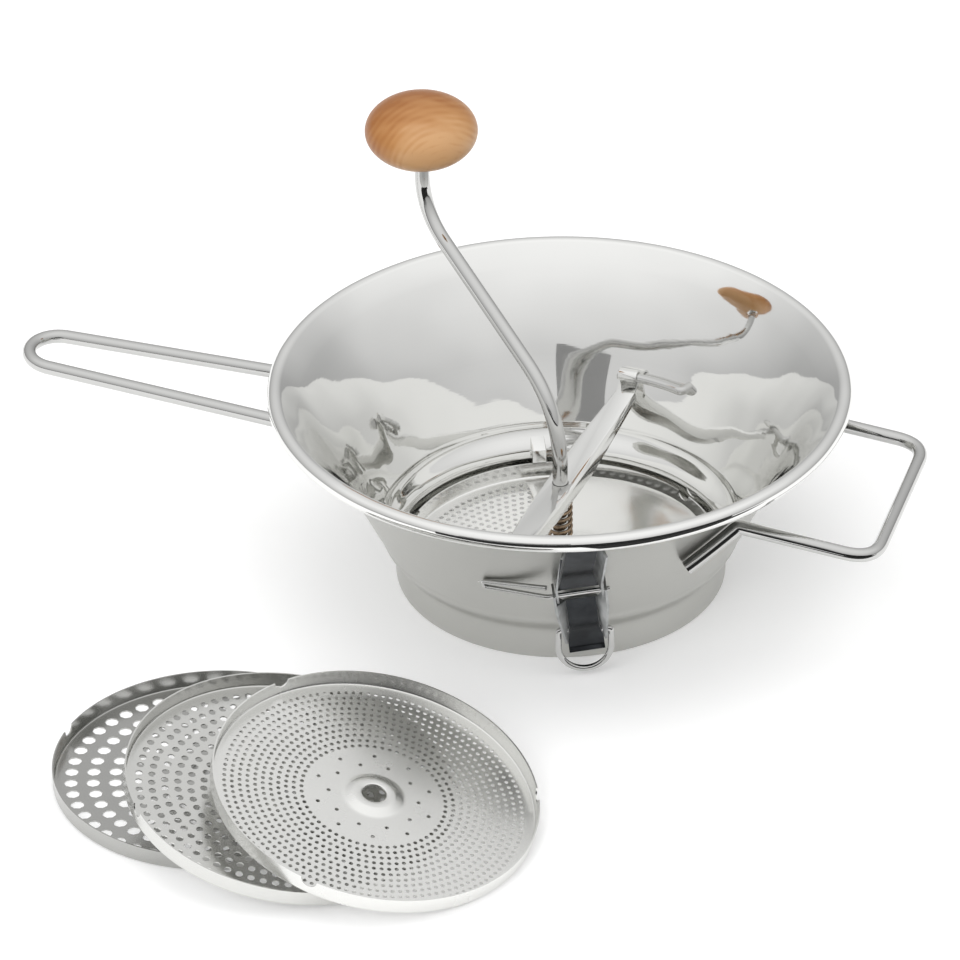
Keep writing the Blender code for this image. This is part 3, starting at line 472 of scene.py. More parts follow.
def insideProfile():
    sheet, curl, base = bowl["sheet"], bowl["footRound"], bowl["baseRadius"]
    inner = curl - sheet
    lip = bowl["lipRadius"] + sheet
    profile = [(lip, bowl["lipHeight"])]
    profile += arcPoints((lip + inner, curl), inner, pi, 1.5 * pi, bowl["arcSteps"])
    profile += arcPoints((base - curl, curl), inner, -pi / 2, 0, bowl["arcSteps"])
    low, high = bowl["crease"]
    foot, over = base - sheet, wallRadius(high, -sheet)
    profile += [(foot, low * bowl["footRing"]), (foot, low - bowl["creaseLead"])]
    for i in range(bowl["creaseSteps"] + 1):
        share = i / bowl["creaseSteps"]
        ease = share ** 2 * (3 - 2 * share)
        profile.append((foot + (over - foot) * ease, low + (high - low) * share))
    top, gap = bowl["rimHeight"] - bowl["bead"], bowl["wallGap"]
    for i in range(bowl["wallSteps"] + 1):
        height = high + gap + (top - high - gap) * i / bowl["wallSteps"]
        profile.append((wallRadius(height, -sheet), height))
    beadCentre = (bowl["rimRadius"] - bowl["bead"], bowl["rimHeight"])
    profile += arcPoints(beadCentre, bowl["bead"], bowl["beadMeet"],
                         bowl["beadMeet"] - bowl["beadCurl"], bowl["beadSteps"])
    return profile


def ringUp(name, profile, segments):
    # a circle drawn out ring by ring along the profile
    clearSelection()
    bpy.ops.mesh.primitive_circle_add(vertices=segments, radius=profile[0][0],
                                      location=(0, 0, profile[0][1]))
    obj = settle(named(name))
    editAll(obj)
    for (radius, height), (nextRadius, nextHeight) in zip(profile, profile[1:]):
        bpy.ops.mesh.extrude_region_move(
            TRANSFORM_OT_translate={"value": (0, 0, nextHeight - height)})
        share = nextRadius / radius
        bpy.ops.transform.resize(value=(share, share, 1), center_override=(0, 0, nextHeight))
    bpy.ops.object.mode_set(mode="OBJECT")
    return obj


def outwardNormals(obj, inside=False):
    editAll(obj)
    bpy.ops.mesh.remove_doubles(threshold=mergeDistance)
    bpy.ops.mesh.normals_make_consistent(inside=inside)
    bpy.ops.object.mode_set(mode="OBJECT")


def thicken(obj, sheet, offset, materialStep=0):
    solid = obj.modifiers.new("sheet", "SOLIDIFY")
    solid.thickness = sheet
    solid.offset = offset
    solid.use_even_offset = True
    solid.material_offset = materialStep
    solid.material_offset_rim = 0
    return applyAll(obj)


def makeBowl():
    obj = ringUp("bowlShell", insideProfile(), bowl["segments"])
    outwardNormals(obj)
    # the wall faces the axis before it gets its thickness
    wall = min(obj.data.polygons, key=lambda face: abs(face.center.z - bowl["midWall"]))
    if wall.normal.x * wall.center.x + wall.normal.y * wall.center.y > 0:
        editAll(obj)
        bpy.ops.mesh.flip_normals()
        bpy.ops.object.mode_set(mode="OBJECT")
    obj.data.materials.append(polishedSteel)
    obj.data.materials.append(satinSteel)
    thicken(obj, bowl["sheet"], offset=-1, materialStep=1)
    shadeByAngle(obj, 40)
    finishPiece(obj, "bowl", "polished_steel", "bowl")
    print("bowl:", len(obj.data.polygons), "faces")


makeBowl()

rib = {
    "azimuth": radians(97),
    "count": 3,
    "width": 0.006,
    "inner": 0.066,
    "back": 0.0695,
    "foot": 0.0113,
    "shoulder": 0.0171,
    "top": 0.0205,
    "step": 0.0004,
    "round": 0.0006,
    "roundSteps": 4,
}


def makeRibs():
    # pressed ribs that lock the disc: a block with its top corner drawn out to the wall
    depth, height = rib["back"] - rib["inner"], rib["shoulder"] - rib["foot"]
    middle = ((rib["back"] + rib["inner"]) / 2, 0, rib["foot"] + height / 2)
    for i in range(rib["count"]):
        clearSelection()
        size = (depth, rib["width"], height)
        bpy.ops.mesh.primitive_cube_add(size=1, location=middle, scale=size)
        obj = settle(named("pressedRib" + str(i + 1)))
        pickFaces(obj, lambda face: face.normal.z > 0.9)
        bpy.ops.mesh.extrude_region_move(TRANSFORM_OT_translate={"value": (0, 0, rib["step"])})
        bpy.ops.mesh.select_mode(type="VERT")
        bpy.ops.object.mode_set(mode="OBJECT")
        for vertex in obj.data.vertices:
            raised = vertex.co.z > rib["shoulder"] + rib["step"] / 2
            if raised and vertex.co.x > rib["inner"] + depth / 2:
                vertex.co.z = rib["top"]
                vertex.co.x = wallRadius(rib["top"], -bowl["sheet"] / 2)
        turnBy = rib["azimuth"] + 2 * pi * i / rib["count"]
        obj.matrix_world = Matrix.Rotation(turnBy, 4, "Z")
        settle(obj)
        bevelEdges(obj, rib["round"], rib["roundSteps"])
        obj.data.materials.append(polishedSteel)
        shadeByAngle(obj, 45)
        finishPiece(obj, "bowl", "polished_steel")


makeRibs()


# Sieve discs

disc = {
    "segments": 128,
    "radius": 0.067,
    "sheet": 0.0006,
    "rim": 0.0074,
    "round": 0.0014,
    "flatEdge": 0.0009,
    "domeRadius": 0.0127,
    "domeTop": 0.0082,
    "domeRise": 0.002,
    "domeEdge": (0.0012, 0.0002),
    "domeFoot": (0.0014, 0.0003),
    "bore": 0.0049,
    "boreStart": 0.0010,
    "boreCurl": 0.0002,
    "boreSteps": 4,
    "rimSteps": 6,
    "midFlat": 0.04,
    "holeSides": 8,
    "notches": 3,
    "notchRadius": 0.0034,
    "notchSides": 24,
    "leanAzimuth": radians(-35),  # the spare discs lean on one another along this line
}

perforations = {
    # each disc's finish is the same steel, made paler or darker by painted light, painted shade or
    # a painted reflection
    "fitted_disc": {
        "hole": 0.0011, "pitch": 0.0036, "inner": 0.0195, "outer": 0.0610, "sparse": (),
        "notch": radians(37), "place": (0, 0, 0.0036), "lean": 0, "finish": paintedReflectionDisc},
    "coarse_disc": {
        "hole": 0.0029, "pitch": 0.0080, "inner": 0.0235, "outer": 0.0595, "sparse": (),
        "notch": radians(37), "place": (-0.1426, -0.1530, 0), "lean": 0, "finish": paintedShadeDisc},
    "medium_disc": {
        "hole": 0.0016, "pitch": 0.0050, "inner": 0.0235, "outer": 0.0605, "sparse": (),
        "notch": radians(84), "place": (-0.11316, -0.1846, 0.01252), "lean": radians(11),
        "finish": discSteel},
    # two rings of a few holes inside the full pattern: radius, count and start
    "fine_disc": {
        "hole": 0.0009, "pitch": 0.0031, "inner": 0.0295, "outer": 0.0610,
        "sparse": ((0.0184, 10, 0), (0.0238, 10, radians(18))),
        "notch": radians(7), "place": (-0.0784, -0.19221, 0.01587), "lean": radians(14),
        "finish": paintedLightDisc},
}


def discProfile():
    # the upper face: from the bore over the dome, across the flat and up the rim
    sheet, bend, radius = disc["sheet"], disc["round"], disc["radius"]
    rise, top, skirt = disc["domeRise"], disc["domeTop"], disc["domeRadius"]
    (aside, below), (within, above) = disc["domeEdge"], disc["domeFoot"]
    inner = bend - sheet
    profile = [(disc["bore"], rise - disc["boreStart"])]
    profile += arcPoints((disc["bore"] + inner, rise - disc["boreCurl"]), inner, pi, pi / 2,
                         disc["boreSteps"])
    profile += [(top, rise + sheet), (top + aside, rise + sheet - below),
                (skirt - within, sheet + above), (skirt, sheet)]
    # rings close to the dome and the bend keep the flat between them flat in the light
    profile += [(skirt + disc["flatEdge"], sheet), (radius - bend - disc["flatEdge"], sheet)]
    profile += arcPoints((radius - bend, bend), inner, -pi / 2, 0, disc["rimSteps"])
    profile += [(radius - sheet, disc["rim"])]
    return profile


def emptyMesh(name):
    clearSelection()
    bpy.ops.mesh.primitive_plane_add(size=1)
    obj = settle(named(name))
    editAll(obj)
    bpy.ops.mesh.delete(type="VERT")
    return obj


def copyRound(count):
    # what is selected, spaced evenly round the axis
    bpy.ops.mesh.spin(steps=count - 1, dupli=True, angle=2 * pi * (count - 1) / count,
                      center=(0, 0, 0), axis=(0, 0, 1))


def cutAway(obj, cutter):
    cut = obj.modifiers.new("cut", "BOOLEAN")
    cut.operation = "DIFFERENCE"
    cut.solver = "MANIFOLD"
    cut.object = cutter
    applyAll(obj)
    bpy.data.objects.remove(cutter)


def cutHoles(obj, plan):
    span = plan["outer"] - plan["inner"]
    rings = round(span / plan["pitch"])
    radii = [plan["inner"] + span * i / rings for i in range(rings + 1)]
    rows = []
    for row, radius in enumerate(radii):
        count = round(2 * pi * radius / plan["pitch"])
        rows.append((radius, count, (row % 2) * pi / count))
    rows += plan["sparse"]
    cutter = emptyMesh(obj.name + "Holes")
    for radius, count, start in rows:
        bpy.ops.mesh.primitive_cylinder_add(
            vertices=disc["holeSides"], radius=plan["hole"], depth=3 * disc["sheet"],
            location=polarPoint(radius, start, disc["sheet"] / 2))
        copyRound(count)
    bpy.ops.object.mode_set(mode="OBJECT")
    cutAway(obj, cutter)


def cutNotches(obj, azimuth):
    cutter = emptyMesh(obj.name + "Notches")
    bpy.ops.mesh.primitive_cylinder_add(
        vertices=disc["notchSides"], radius=disc["notchRadius"], depth=5 * disc["sheet"],
        location=polarPoint(disc["radius"], azimuth, disc["rim"]),
        rotation=(pi / 2, 0, azimuth + pi / 2))
    copyRound(disc["notches"])
    bpy.ops.object.mode_set(mode="OBJECT")
    cutAway(obj, cutter)


def wearOneFinish(obj, finish):
    # a cut can bring the cutter's slots with it
    obj.data.materials.clear()
    obj.data.materials.append(finish)
    obj.data.polygons.foreach_set("material_index", [0] * len(obj.data.polygons))


def makeDisc(nodeName):
    plan = perforations[nodeName]
    obj = ringUp(nodeName.split("_")[0] + "Disc", discProfile(), disc["segments"])
    outwardNormals(obj)
    flat = min(obj.data.polygons,
               key=lambda face: abs(hypot(face.center.x, face.center.y) - disc["midFlat"]))
    if flat.normal.z < 0:
        outwardNormals(obj, inside=True)
    thicken(obj, disc["sheet"], offset=-1)
    cutHoles(obj, plan)
    cutNotches(obj, plan["notch"])
    wearOneFinish(obj, plan["finish"])
    shadeByAngle(obj, 30)
    side = polarPoint(1, disc["leanAzimuth"] + pi / 2, 0)
    obj.matrix_world = Matrix.Translation(plan["place"]) @ Matrix.Rotation(plan["lean"], 4, side)
    settle(obj)
    body = "bowl" if nodeName == "fitted_disc" else nodeName
    finishPiece(obj, body, "polished_steel", nodeName)
    print(obj.name + ":", len(obj.data.polygons), "faces")


for nodeName in perforations:
    makeDisc(nodeName)


# Bent wires and rods

def softBend(corners, bend, steps=12):
    # a path through the corners with each one drawn into a smooth curve
    corners = [Vector(corner) for corner in corners]
    path = [corners[0]]
    for before, corner, after in zip(corners, corners[1:], corners[2:]):
        back, ahead = before - corner, after - corner
        cut = min(bend, 0.49 * back.length, 0.49 * ahead.length)
        start, end = corner + back.normalized() * cut, corner + ahead.normalized() * cut
        for i in range(steps + 1):
            t = i / steps
            path.append(start * (1 - t) ** 2 + corner * 2 * t * (1 - t) + end * t ** 2)
    path.append(corners[-1])
    return path


def makeWire(name, path, radius, finish, turn=(0, 0, 0), place=(0, 0, 0), sides=5):
    clearSelection()
    bpy.ops.curve.primitive_bezier_curve_add()
    obj = named(name)
    curve = obj.data
    curve.splines.clear()
    curve.dimensions = "3D"
    curve.bevel_depth = radius
    curve.bevel_resolution = sides
    curve.use_fill_caps = True
    spline = curve.splines.new("POLY")
    spline.points.add(len(path) - 1)
    for point, spot in zip(spline.points, path):
        point.co = (*spot, 1)
    spline.use_smooth = True
    obj.location = place
    obj.rotation_euler = turn
    bpy.ops.object.convert(target="MESH")
    obj = settle(bpy.context.object)
    outwardNormals(obj)
    obj.data.materials.append(finish)
    return shadeByAngle(obj, 50)


handles = {
    "wire": 0.003,
    "gap": 0.0003,
    "azimuth": radians(-16.5),
    "root": 0.064,
    "wallSteps": 8,
    "bend": 0.011,
    "bendSteps": 8,
    "tipSteps": 24,
    "long": {"reach": 0.234, "rootHalf": 0.0196, "tipHalf": 0.013, "rise": radians(3.6),
             "weldHalf": 0.024, "weldHeight": 0.047},
    "short": {"reach": 0.1468, "half": 0.046, "corner": 0.013, "drop": radians(6.5),
              "weldHalf": 0.059, "weldHeight": 0.0488},
}


def wallRun(half, footHeight, footHalf):
    # the wire's welded end, laid up along the wall
    points = []
    for i in range(handles["wallSteps"] + 1):
        share = i / handles["wallSteps"]
        height = footHeight + (handles["root"] - footHeight) * share
        across = footHalf + (half - footHalf) * share
        radius = wallRadius(height, handles["wire"] + handles["gap"])
        points.append(Vector((sqrt(radius ** 2 - across ** 2), across, height)))
    return points


def makeLongHandle():
    plan = handles["long"]
    run = wallRun(plan["rootHalf"], plan["weldHeight"], plan["weldHalf"])
    root, slope, tip = run[-1].x, tan(plan["rise"]), plan["tipHalf"]
    straight = plan["reach"] - tip
    run.append(Vector((straight, tip, handles["root"] + slope * (straight - root))))
    path = softBend(run, handles["bend"], handles["bendSteps"])
    steps = handles["tipSteps"]
    end = []
    for i in range(1, steps):
        angle = pi / 2 - pi * i / steps
        x = straight + tip * cos(angle)
        end.append(Vector((x, tip * sin(angle), handles["root"] + slope * (x - root))))
    back = [Vector((p.x, -p.y, p.z)) for p in reversed(path)]
    obj = makeWire("longHandle", path + end + back, handles["wire"], chrome,
                   turn=(0, 0, handles["azimuth"] + pi))
    finishPiece(obj, "bowl", "chromed_wire", "long_handle")


def makeShortHandle():
    plan = handles["short"]
    run = wallRun(plan["half"], plan["weldHeight"], plan["weldHalf"])
    height = handles["root"] - tan(plan["drop"]) * (plan["reach"] - run[-1].x)
    run.append(Vector((plan["reach"], plan["half"], height)))
    corners = run + [Vector((p.x, -p.y, p.z)) for p in reversed(run)]
    obj = makeWire("shortHandle", softBend(corners, plan["corner"]), handles["wire"], chrome,
                   turn=(0, 0, handles["azimuth"]))
    finishPiece(obj, "bowl", "chromed_wire", "short_handle")


makeLongHandle()
makeShortHandle()

crank = {
    "azimuth": radians(125),
    "rod": 0.00325,
    "foot": 0.0023,
    "reach": 0.0987,
    "elbow": 0.0781,
    "shoulder": 0.1294,
    "top": 0.17275,
    "elbowBend": 0.030,
    "shoulderBend": 0.018,
    "bendSteps": 20,
    "sides": 6,
}


def crankPoint(reach, height):
    return polarPoint(reach, crank["azimuth"], height)


def makeCrank():
    foot, elbow = crankPoint(0, crank["foot"]), crankPoint(0, crank["elbow"])
    shoulder = crankPoint(crank["reach"], crank["shoulder"])
    top = crankPoint(crank["reach"], crank["top"])
    middle = (elbow + shoulder) / 2
    lower = softBend([foot, elbow, middle], crank["elbowBend"], crank["bendSteps"])
    upper = softBend([middle, shoulder, top], crank["shoulderBend"], crank["bendSteps"])
    obj = makeWire("crankRod", lower + upper[1:], crank["rod"], chrome, sides=crank["sides"])
    finishPiece(obj, "crank", "chromed_wire", "crank_rod")


makeCrank()

hookWire = {
    "bridgeMiddle": 0.0423,
    "hookRise": 0.003,
    "hookRadius": 0.0028,
    "radius": 0.002,
    "standoff": 0.005,
    "lead": radians(71.5),
    "end": radians(50),
    "turnIn": radians(3),
    "head": 0.002,
    "steps": 12,
    "bendSteps": 8,
}


def makeHookWire():
    # along the inside of the wall, then out through it
    height = hookWire["bridgeMiddle"] + hookWire["hookRise"] + hookWire["hookRadius"]
    radius = wallRadius(height, -bowl["sheet"]) - hookWire["standoff"]
    start, end, steps = hookWire["lead"], hookWire["end"] + hookWire["turnIn"], hookWire["steps"]
    path = [polarPoint(radius, start + (end - start) * i / steps, height) for i in range(steps + 1)]
    out = wallRadius(height) + hookWire["head"]
    path += [polarPoint(radius, hookWire["end"], height), polarPoint(out, hookWire["end"], height)]
    path = softBend(path, hookWire["standoff"] / 2, hookWire["bendSteps"])
    obj = makeWire("hookWire", path, hookWire["radius"], chrome)
    finishPiece(obj, "bowl", "chromed_wire", "hook_wire")


makeHookWire()

spring = {
    "wire": 0.0007,
    "radius": 0.00455,
    "foot": 0.0151,
    "top": 0.0395,
    "curls": 8,
    "points": 28,
    "sides": 3,
}


def makeSpring():
    count = spring["curls"] * spring["points"]
    path = [polarPoint(spring["radius"], 2 * pi * i / spring["points"],
                       spring["foot"] + (spring["top"] - spring["foot"]) * i / count)
            for i in range(count + 1)]
    obj = makeWire("springCoil", path, spring["wire"], springSteel, sides=spring["sides"])
    finishPiece(obj, "bowl", "spring_steel", "spring")


makeSpring()
print("wires bent")


# Knob

knob = {
    "axis": (-0.05661, 0.08085),
    "height": 0.168,
    "radius": 0.0239,
    "half": 0.01475,
    "bore": 0.00555,
    "boreTop": 0.17435,
    "segments": 96,
    "rings": 64,
}


def makeKnob():
    # a flattened ball, cut flat below, with the cut pushed up as the bore
    clearSelection()
    middle = (*knob["axis"], knob["height"])
    bpy.ops.mesh.primitive_uv_sphere_add(segments=knob["segments"], ring_count=knob["rings"],
                                         radius=knob["radius"], location=middle)
    obj = settle(named("woodKnob"))
    foot = knob["height"] - knob["half"] * sqrt(1 - (knob["bore"] / knob["radius"]) ** 2)
    editAll(obj)
    share = knob["half"] / knob["radius"]
    bpy.ops.transform.resize(value=(1, 1, share), center_override=middle)
    bpy.ops.mesh.bisect(plane_co=(*knob["axis"], foot), plane_no=(0, 0, 1),
                        use_fill=True, clear_inner=True)
    bpy.ops.mesh.extrude_region_move(
        TRANSFORM_OT_translate={"value": (0, 0, knob["boreTop"] - foot)})
    bpy.ops.object.mode_set(mode="OBJECT")
    outwardNormals(obj)
    obj.data.materials.append(beech)
    shadeByAngle(obj, 40)
    finishPiece(obj, "knob", "beech", "knob")


makeKnob()
print("knob turned")


# Blade, hub and washers

blade = {
    "sheet": 0.001,
    "leading": radians(-77),
    "trailing": radians(103),
    "rise": 0.0105,
    "lip": 0.0032,
    "lipLean": radians(1.5),
    "steps": 72,
    "edge": 0.00025,
    "edgeSteps": 2,
    "base": 0.005,
    "radii": ((0.0070, 0.002), (0.0090, 0.002), (0.0104, 0.0017), (0.0122, 0.0004), (0.0135, 0),
              (0.0220, 0), (0.0320, 0), (0.0420, 0), (0.0520, 0), (0.0600, 0), (0.0625, 0)),
}


def makeBlade():
    # a radial edge drawn round the axis, step by step, while it climbs
    obj = emptyMesh("bladeSheet")
    bpy.ops.object.mode_set(mode="OBJECT")
    line = [polarPoint(radius, blade["trailing"], blade["base"] + lift)
            for radius, lift in blade["radii"]]
    obj.data.from_pydata(line, [(i, i + 1) for i in range(len(line) - 1)], [])
    editAll(obj)
    turn = (blade["leading"] - blade["trailing"]) / blade["steps"]
    for _ in range(blade["steps"]):
        bpy.ops.mesh.extrude_region_move(
            TRANSFORM_OT_translate={"value": (0, 0, blade["rise"] / blade["steps"])})
        bpy.ops.transform.rotate(value=-turn, orient_axis="Z", center_override=(0, 0, 0))
    bpy.ops.mesh.extrude_region_move(TRANSFORM_OT_translate={"value": (0, 0, blade["lip"])})
    bpy.ops.transform.rotate(value=blade["lipLean"], orient_axis="Z", center_override=(0, 0, 0))
    bpy.ops.object.mode_set(mode="OBJECT")
    outwardNormals(obj)
    thicken(obj, blade["sheet"], offset=0)
    bevelEdges(obj, blade["edge"], blade["edgeSteps"], 60)
    obj.data.materials.append(bladeSteel)
    shadeByAngle(obj, 50)
    finishPiece(obj, "crank", "polished_steel", "blade")
    print("blade:", len(obj.data.polygons), "faces")


makeBlade()


turned = {"segments": 64, "edge": 0.0002, "edgeSteps": 2}


def makeRing(name, profile, body, slotName, finish, nodeName):
    # the profile is closed: its last ring meets its first
    obj = ringUp(name, profile + [profile[0]], turned["segments"])
    outwardNormals(obj)
    bevelEdges(obj, turned["edge"], turned["edgeSteps"], 50)
    obj.data.materials.append(finish)
    shadeByAngle(obj, 50)
    finishPiece(obj, body, slotName, nodeName)


washer = {"bore": 0.00355, "radius": 0.0054, "thickness": 0.001, "upper": 0.0405, "lower": 0.0130}
hub = {
    "bore": 0.00355,
    "radius": 0.0067,
    "foot": 0.0065,
    "top": 0.0127,
    "spigot": 0.0045,
    "end": 0.0023,
}


def makeWasher(name, foot, body, nodeName):
    bore, radius, top = washer["bore"], washer["radius"], foot + washer["thickness"]
    profile = [(bore, foot), (radius, foot), (radius, top), (bore, top)]
    makeRing(name, profile, body, "zinc_plate", zincPlate, nodeName)


def makeHub():
    bore, spigot, radius = hub["bore"], hub["spigot"], hub["radius"]
    profile = [(bore, hub["end"]), (spigot, hub["end"]), (spigot, hub["foot"]),
               (radius, hub["foot"]), (radius, hub["top"]), (bore, hub["top"])]
    makeRing("bladeHub", profile, "crank", "polished_steel", bridgeSteel, "blade_hub")


makeWasher("upperWasher", washer["upper"], "bowl", "upper_washer")
makeWasher("lowerWasher", washer["lower"], "thrust", "lower_washer")
makeHub()
print("rotor done")


# Pressed sheet pieces: the CAD form with its edges rounded

pressed = {"bridgeEdge": 0.0003, "latchEdge": 0.00025, "edgeSteps": 3, "flat": radians(1.5)}

latch = {
    "azimuth": radians(-86),
    "tilt": radians(6.5),
    "middle": (0.006583, -0.094137, 0.049),
    "webFacing": 0.6,
    "webHalf": 0.0072,
    "wire": 0.001,
    "wireFold": 0.0018,
    "wirePath": ((0.01887, -0.09328, 0.0504), (-0.0067, -0.09507, 0.04748),
                 (-0.0327, -0.08094, 0.0439), (-0.03336, -0.08258, 0.0475),
                 (-0.00722, -0.0951, 0.05205)),
    "loop": 0.00135,
    "loopHalf": 0.010984,
    "loopStub": 0.0069,
    "loopDrop": 0.008416,
    "loopBend": 0.0022,
    "loopSteps": 32,
    "loopPlace": (0.0086928, -0.0833279, 0.0239073),
    "loopTurn": radians(4),
}


def roundedEdges(name, nodeName, width, body, slotName, finish):
    pick(nodes[nodeName])
    bpy.ops.object.duplicate()
    obj = named(name)
    obj.parent = None
    for key in [key for key in obj.keys() if key.startswith("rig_")]:
        del obj[key]
    editAll(obj)
    bpy.ops.mesh.remove_doubles(threshold=mergeDistance)
    bpy.ops.mesh.dissolve_limited(angle_limit=pressed["flat"])
    bpy.ops.object.mode_set(mode="OBJECT")
    bevelEdges(obj, width, pressed["edgeSteps"], 40)
    obj.data.materials.clear()
    obj.data.materials.append(finish)
    shadeByAngle(obj, 40)
    return finishPiece(obj, body, slotName, nodeName)


def paintWebReflectionDark(obj):
    # the channel's web, where it faces out, is painted darker than its flanges: a painted dark
    # reflection on one plated sheet
    out = polarPoint(1, latch["azimuth"], 0)
    across = polarPoint(1, latch["azimuth"] + pi / 2, 0) + Vector((0, 0, sin(latch["tilt"])))
    obj.data.materials.append(paintedDarkReflectionPlate)
    for face in obj.data.polygons:
        aside = abs((face.center - Vector(latch["middle"])).dot(across))
        if face.normal.dot(out) > latch["webFacing"] and aside < latch["webHalf"]:
            face.material_index = 1


roundedEdges("bridgeChannel", "bridge", pressed["bridgeEdge"], "bowl",
             "polished_steel", bridgeSteel)
bracketPiece = roundedEdges("latchBracket", "latch_bracket", pressed["latchEdge"], "bowl",
                            "zinc_plate", zincPlate)
leverPiece = roundedEdges("latchLever", "latch_lever", pressed["latchEdge"], "latch",
                          "zinc_plate", zincPlate)
for piece in (bracketPiece, leverPiece):
    paintWebReflectionDark(piece)


def makeLatchWire():
    path = softBend(latch["wirePath"], latch["wireFold"])
    obj = makeWire("latchWire", path, latch["wire"], chrome)
    finishPiece(obj, "latch", "chromed_wire", "latch_wire")


def makePullLoop():
    half, drop, steps = latch["loopHalf"], latch["loopDrop"], latch["loopSteps"]
    left = softBend([(-latch["loopStub"], 0, 0), (-half, 0, 0), (-half, 0, -drop)],
                    latch["loopBend"])
    bow = [Vector((-half * cos(pi * i / steps), 0, -drop - half * sin(pi * i / steps)))
           for i in range(1, steps)]
    right = [Vector((-p.x, p.y, p.z)) for p in reversed(left)]
    obj = makeWire("pullLoop", left + bow + right, latch["loop"], chrome,
                   turn=(0, 0, latch["loopTurn"]), place=latch["loopPlace"])
    finishPiece(obj, "pull_loop", "chromed_wire", "pull_loop")


makeLatchWire()
makePullLoop()
print("latch pieces edged")


# Finishes of the CAD nodes that stay

nodeFinish = {"knob_sleeve": bridgeSteel, "knob_retainer": springSteel}
for nodeName, finish in nodeFinish.items():
    for material in nodes[nodeName].material_slots:
        material.material = finish


# Floor, lamps and sky

studio = {
    "floorSize": 40,
    "floor": (0.90, 0.90, 0.90),
    "floorGlow": 0.18,
    "matt": 0.9,
    "lamps": (
        {"name": "keyLamp", "place": (-1.0, -2.0, 1.5), "size": 1.4, "power": 19},
        {"name": "fillLamp", "place": (1.6, -1.0, 1.0), "size": 1.1, "power": 3.2},
        {"name": "topLamp", "place": (-0.1, 0.15, 2.2), "size": 1.7, "power": 8},
    ),
    # brightness of the tent by height, from straight down through level to straight up
    "sky": ((0.0, 0.80), (0.5, 0.46), (0.56, 0.54), (0.66, 0.70), (0.78, 0.86), (0.87, 1.00),
            (1.0, 1.10)),
    # a darker strip along the tent's foot on the camera's side, and a dimmer far side
    "strip": {"side": (0.10, 0.40), "top": (0.04, 0.12), "dark": 0.6},
    "farSide": {"side": (0.05, 0.60), "dark": 0.14},
    # cards in front, seen only in mirrored light, draw the dark lines on rim and wires
    "cards": (
        {"name": "lyingCard", "shade": 0.02,
         "low": (0.03, -0.36, 0.0005), "high": (0.60, -0.16, 0.0005)},
        {"name": "standingCard", "shade": 0.02,
         "low": (-0.30, -0.36, 0.0), "high": (0.60, -0.36, 0.165)},
        {"name": "tallCard", "shade": 0.34,
         "low": (-0.22, -0.36, 0.165), "high": (0.01, -0.36, 0.235)},
    ),
}


def makeFloor():
    clearSelection()
    bpy.ops.mesh.primitive_plane_add(size=studio["floorSize"], location=(0, 0, 0))
    floor = settle(named("floor"))
    made = Recipe("paleFloor", studio["floor"], 0, studio["matt"])
    # it glows only where it is seen, straight or in metal, and lights nothing
    rays = made.node("ShaderNodeLightPath")
    seen = rays.outputs["Is Camera Ray"]
    for other in ("Is Glossy Ray", "Is Transmission Ray"):
        seen = made.calc("MAXIMUM", seen, rays.outputs[other])
    glow = made.calc("MULTIPLY", seen, studio["floorGlow"])
    made.shader.inputs["Emission Color"].default_value = (1, 1, 1, 1)
    made.link(glow, made.shader.inputs["Emission Strength"])
    floor.data.materials.append(made.material)


def makeLamps():
    for lamp in studio["lamps"]:
        data = bpy.data.lights.new(lamp["name"], "AREA")
        data.shape = "DISK"
        data.size = lamp["size"]
        data.energy = lamp["power"]
        obj = bpy.data.objects.new(lamp["name"], data)
        bpy.context.scene.collection.objects.link(obj)
        obj.location = lamp["place"]
        obj.rotation_euler = (-Vector(lamp["place"])).to_track_quat("-Z", "Y").to_euler()
        obj.visible_glossy = False


def makeCards():
    for plan in studio["cards"]:
        low, high = Vector(plan["low"]), Vector(plan["high"])
        size = high - low
        standing = size.z > size.y
        clearSelection()
        bpy.ops.mesh.primitive_plane_add(size=1)
        card = named(plan["name"])
        card.scale = (size.x, size.z if standing else size.y, 1)
        card.rotation_euler = (pi / 2 if standing else 0, 0, 0)
        card.location = (low + high) / 2
        settle(card)
        finish = Recipe(plan["name"], [plan["shade"]] * 3, 0, studio["matt"]).material
        card.data.materials.append(finish)
        for kind in ("camera", "diffuse", "shadow", "transmission"):
            setattr(card, "visible_" + kind, False)


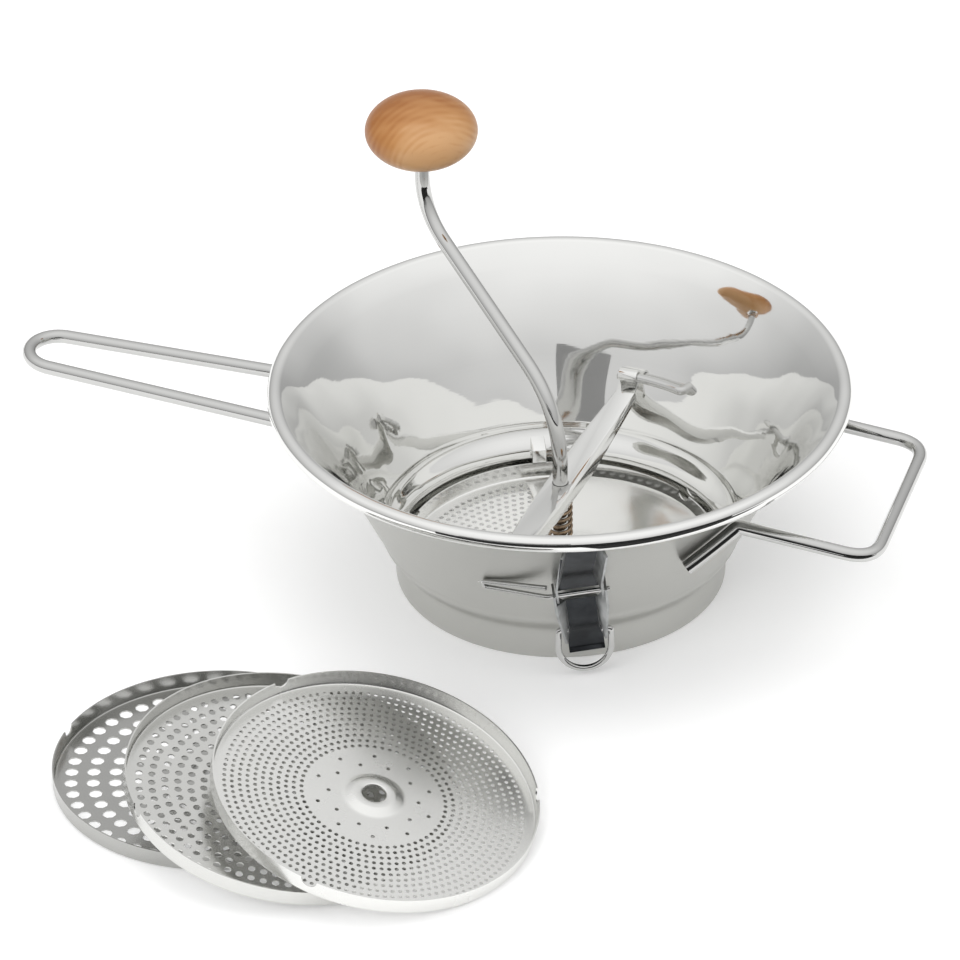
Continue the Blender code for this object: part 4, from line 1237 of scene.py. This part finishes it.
def makeSky():
    world = bpy.data.worlds.new("studioSky")
    bpy.context.scene.world = world
    world.use_nodes = True
    tree = world.node_tree

    def between(value, low, high):
        made = tree.nodes.new("ShaderNodeMapRange")
        made.interpolation_type = "SMOOTHSTEP"
        made.inputs["From Min"].default_value = low
        made.inputs["From Max"].default_value = high
        tree.links.new(value, made.inputs["Value"])
        return made.outputs["Result"]

    def join(kind, first, second):
        made = tree.nodes.new("ShaderNodeMath")
        made.operation = kind
        for socket, value in zip(made.inputs, (first, second)):
            if isinstance(value, (int, float)):
                socket.default_value = value
            else:
                tree.links.new(value, socket)
        return made.outputs["Value"]

    place = tree.nodes.new("ShaderNodeTexCoord")
    parts = tree.nodes.new("ShaderNodeSeparateXYZ")
    tree.links.new(place.outputs["Generated"], parts.inputs["Vector"])
    half = tree.nodes.new("ShaderNodeMapRange")
    half.inputs["From Min"].default_value = -1
    tree.links.new(parts.outputs["Z"], half.inputs["Value"])
    ramp = tree.nodes.new("ShaderNodeValToRGB")
    stops, brightest = studio["sky"], max(level for _, level in studio["sky"])
    for _ in range(len(stops) - 2):
        ramp.color_ramp.elements.new(0.5)
    for element, (position, level) in zip(ramp.color_ramp.elements, stops):
        element.position = position
        element.color = [level / brightest] * 3 + [1]
    tree.links.new(half.outputs["Result"], ramp.inputs["Fac"])
    strip, farSide = studio["strip"], studio["farSide"]
    toCamera = join("MULTIPLY", parts.outputs["Y"], -1)
    low = join("SUBTRACT", 1, between(parts.outputs["Z"], *strip["top"]))
    near = join("MULTIPLY", between(toCamera, *strip["side"]), low)
    dark = join("MULTIPLY", near, strip["dark"])
    light = join("MULTIPLY", join("SUBTRACT", 1, dark), brightest)
    far = join("MULTIPLY", between(parts.outputs["Y"], *farSide["side"]), farSide["dark"])
    light = join("MULTIPLY", join("SUBTRACT", 1, far), light)
    tree.links.new(ramp.outputs["Color"], tree.nodes["Background"].inputs["Color"])
    tree.links.new(light, tree.nodes["Background"].inputs["Strength"])


makeFloor()
makeLamps()
makeCards()
makeSky()
print("studio ready")
